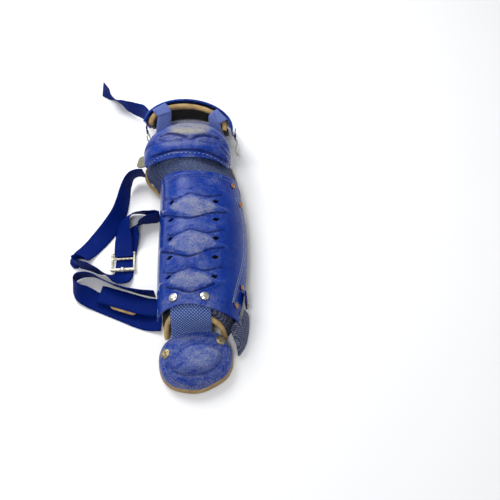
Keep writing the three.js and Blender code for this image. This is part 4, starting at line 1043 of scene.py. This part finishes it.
SIDE_SEAM = (
    (236.5, 197.5), (239.5, 204), (243.4, 217.6), (244.8, 238.7), (244.8, 254.5), (242, 270.3),
    (237.9, 286), (233.9, 302.4),
)
for name, aside in (("side_seam_stitches_near", -1.6), ("side_seam_stitches_far", 0)):
    seam = seen_row(shin_skin, [(px + aside, py) for px, py in SIDE_SEAM])
    sewn(name, laid_on(shin_skin, seam, 0.2), "pale thread", "blue_elastic", length=3.2, gap=0.5, thick=1.0)
LOOSE_ENDS = (
    ("side_loose_thread", ((234.6, 297), (233, 301), (234.5, 303), (237.5, 302.4))),
    ("plate_edge_thread", ((156.5, 305), (158, 309), (156.2, 312), (157.6, 315.5))),
    ("hem_loose_thread", ((222, 178.5), (220.8, 175.5), (219.6, 177))),
)
for name, places in LOOSE_ENDS:
    line = laid_on(shin_skin, seen_row(shin_skin, places), 0.5)
    sewn(name, line, "light blue thread", "blue_elastic", length=4, gap=-1.5, thick=1.1)

KNEE_SEAM = (
    (149.1, 164.4), (158.2, 158.4), (165.9, 155.3), (173.6, 153.2), (179.2, 152.6), (189, 152.8),
    (200.9, 153.3), (207.3, 154.9), (213.2, 157.4), (220.6, 161.6), (226.2, 164.4),
)
knee_seam = laid_on(knee_skin, seen_row(knee_skin, KNEE_SEAM), 0.3)
sewn("knee_stitches", knee_seam, "pale thread", "blue_elastic", length=4.2, gap=3.2, thick=1.0)

TOE_SEAM = (
    (163.5, 356), (167, 343.5), (175, 340.3), (193.5, 337.5), (211, 333.8), (219.5, 334.5), (226, 339.5),
    (229.5, 348.5), (228.8, 356), (218.5, 377.5), (192, 387), (169.5, 377), (164.2, 363.5), (163.5, 356),
)
toe_seam = laid_on(toe_skin, seen_row(toe_skin, TOE_SEAM), 0.2)
sewn("toe_stitches", toe_seam, "tan thread", "tan_leather", length=3.0, gap=1.4, thick=0.8)

calf_skin = skin(straps["calf_strap"])
for name, ends, colour, slot in (
    ("calf_seam_tan", ((117.3, 237.8), (133, 238.6)), "tan thread", "tan_leather"),
    ("calf_seam_upper", ((117, 246.2), (132, 246.8)), "dark thread", "navy_webbing"),
    ("calf_seam_lower", ((116.6, 248.8), (131.6, 249.6)), "dark thread", "navy_webbing"),
):
    ends = seen_row(calf_skin, ends)
    seam = laid_on(calf_skin, [ends[0], (ends[0] + ends[1]) / 2, ends[1]], 0.1)
    sewn(name, seam, colour, slot, length=2.2, gap=0.7, thick=0.7)

# Floor, light and world.
clear()
bpy.ops.mesh.primitive_plane_add(size=8, location=(0, 0, -0.0003))
floor = bpy.context.object
floor.name = "floor"
paper = Finish("pale paper", roughness=0.9)
paper.set("Base Color", paper.mixed(paper.noise(300, 2), (0.90, 0.90, 0.91), (0.93, 0.93, 0.93)))
floor.data.materials.append(paper.material)

world = bpy.data.worlds.new("studio")
world.use_nodes = True
world.node_tree.nodes["Background"].inputs["Color"].default_value = (0.95, 0.97, 1.0, 1)
world.node_tree.nodes["Background"].inputs["Strength"].default_value = 0.48
bpy.context.scene.world = world


LIT = own(0, 20, 40)


def softbox(name, spot, size, power):
    bpy.ops.object.light_add(type="AREA", location=own(*spot))
    lamp = bpy.context.object
    lamp.name = name
    lamp.data.shape = "RECTANGLE"
    lamp.data.size, lamp.data.size_y = size
    lamp.data.energy = power
    lamp.rotation_euler = (LIT - lamp.location).to_track_quat("-Z", "Y").to_euler()


softbox("key_light", (-560, 780, 1200), (0.8, 0.8), 19)
softbox("front_light", (-150, -700, 1500), (0.3, 0.3), 7)
softbox("right_light", (1100, 0, 800), (0.12, 1.0), 0.5)
bpy.context.scene.view_settings.view_transform = "Standard"
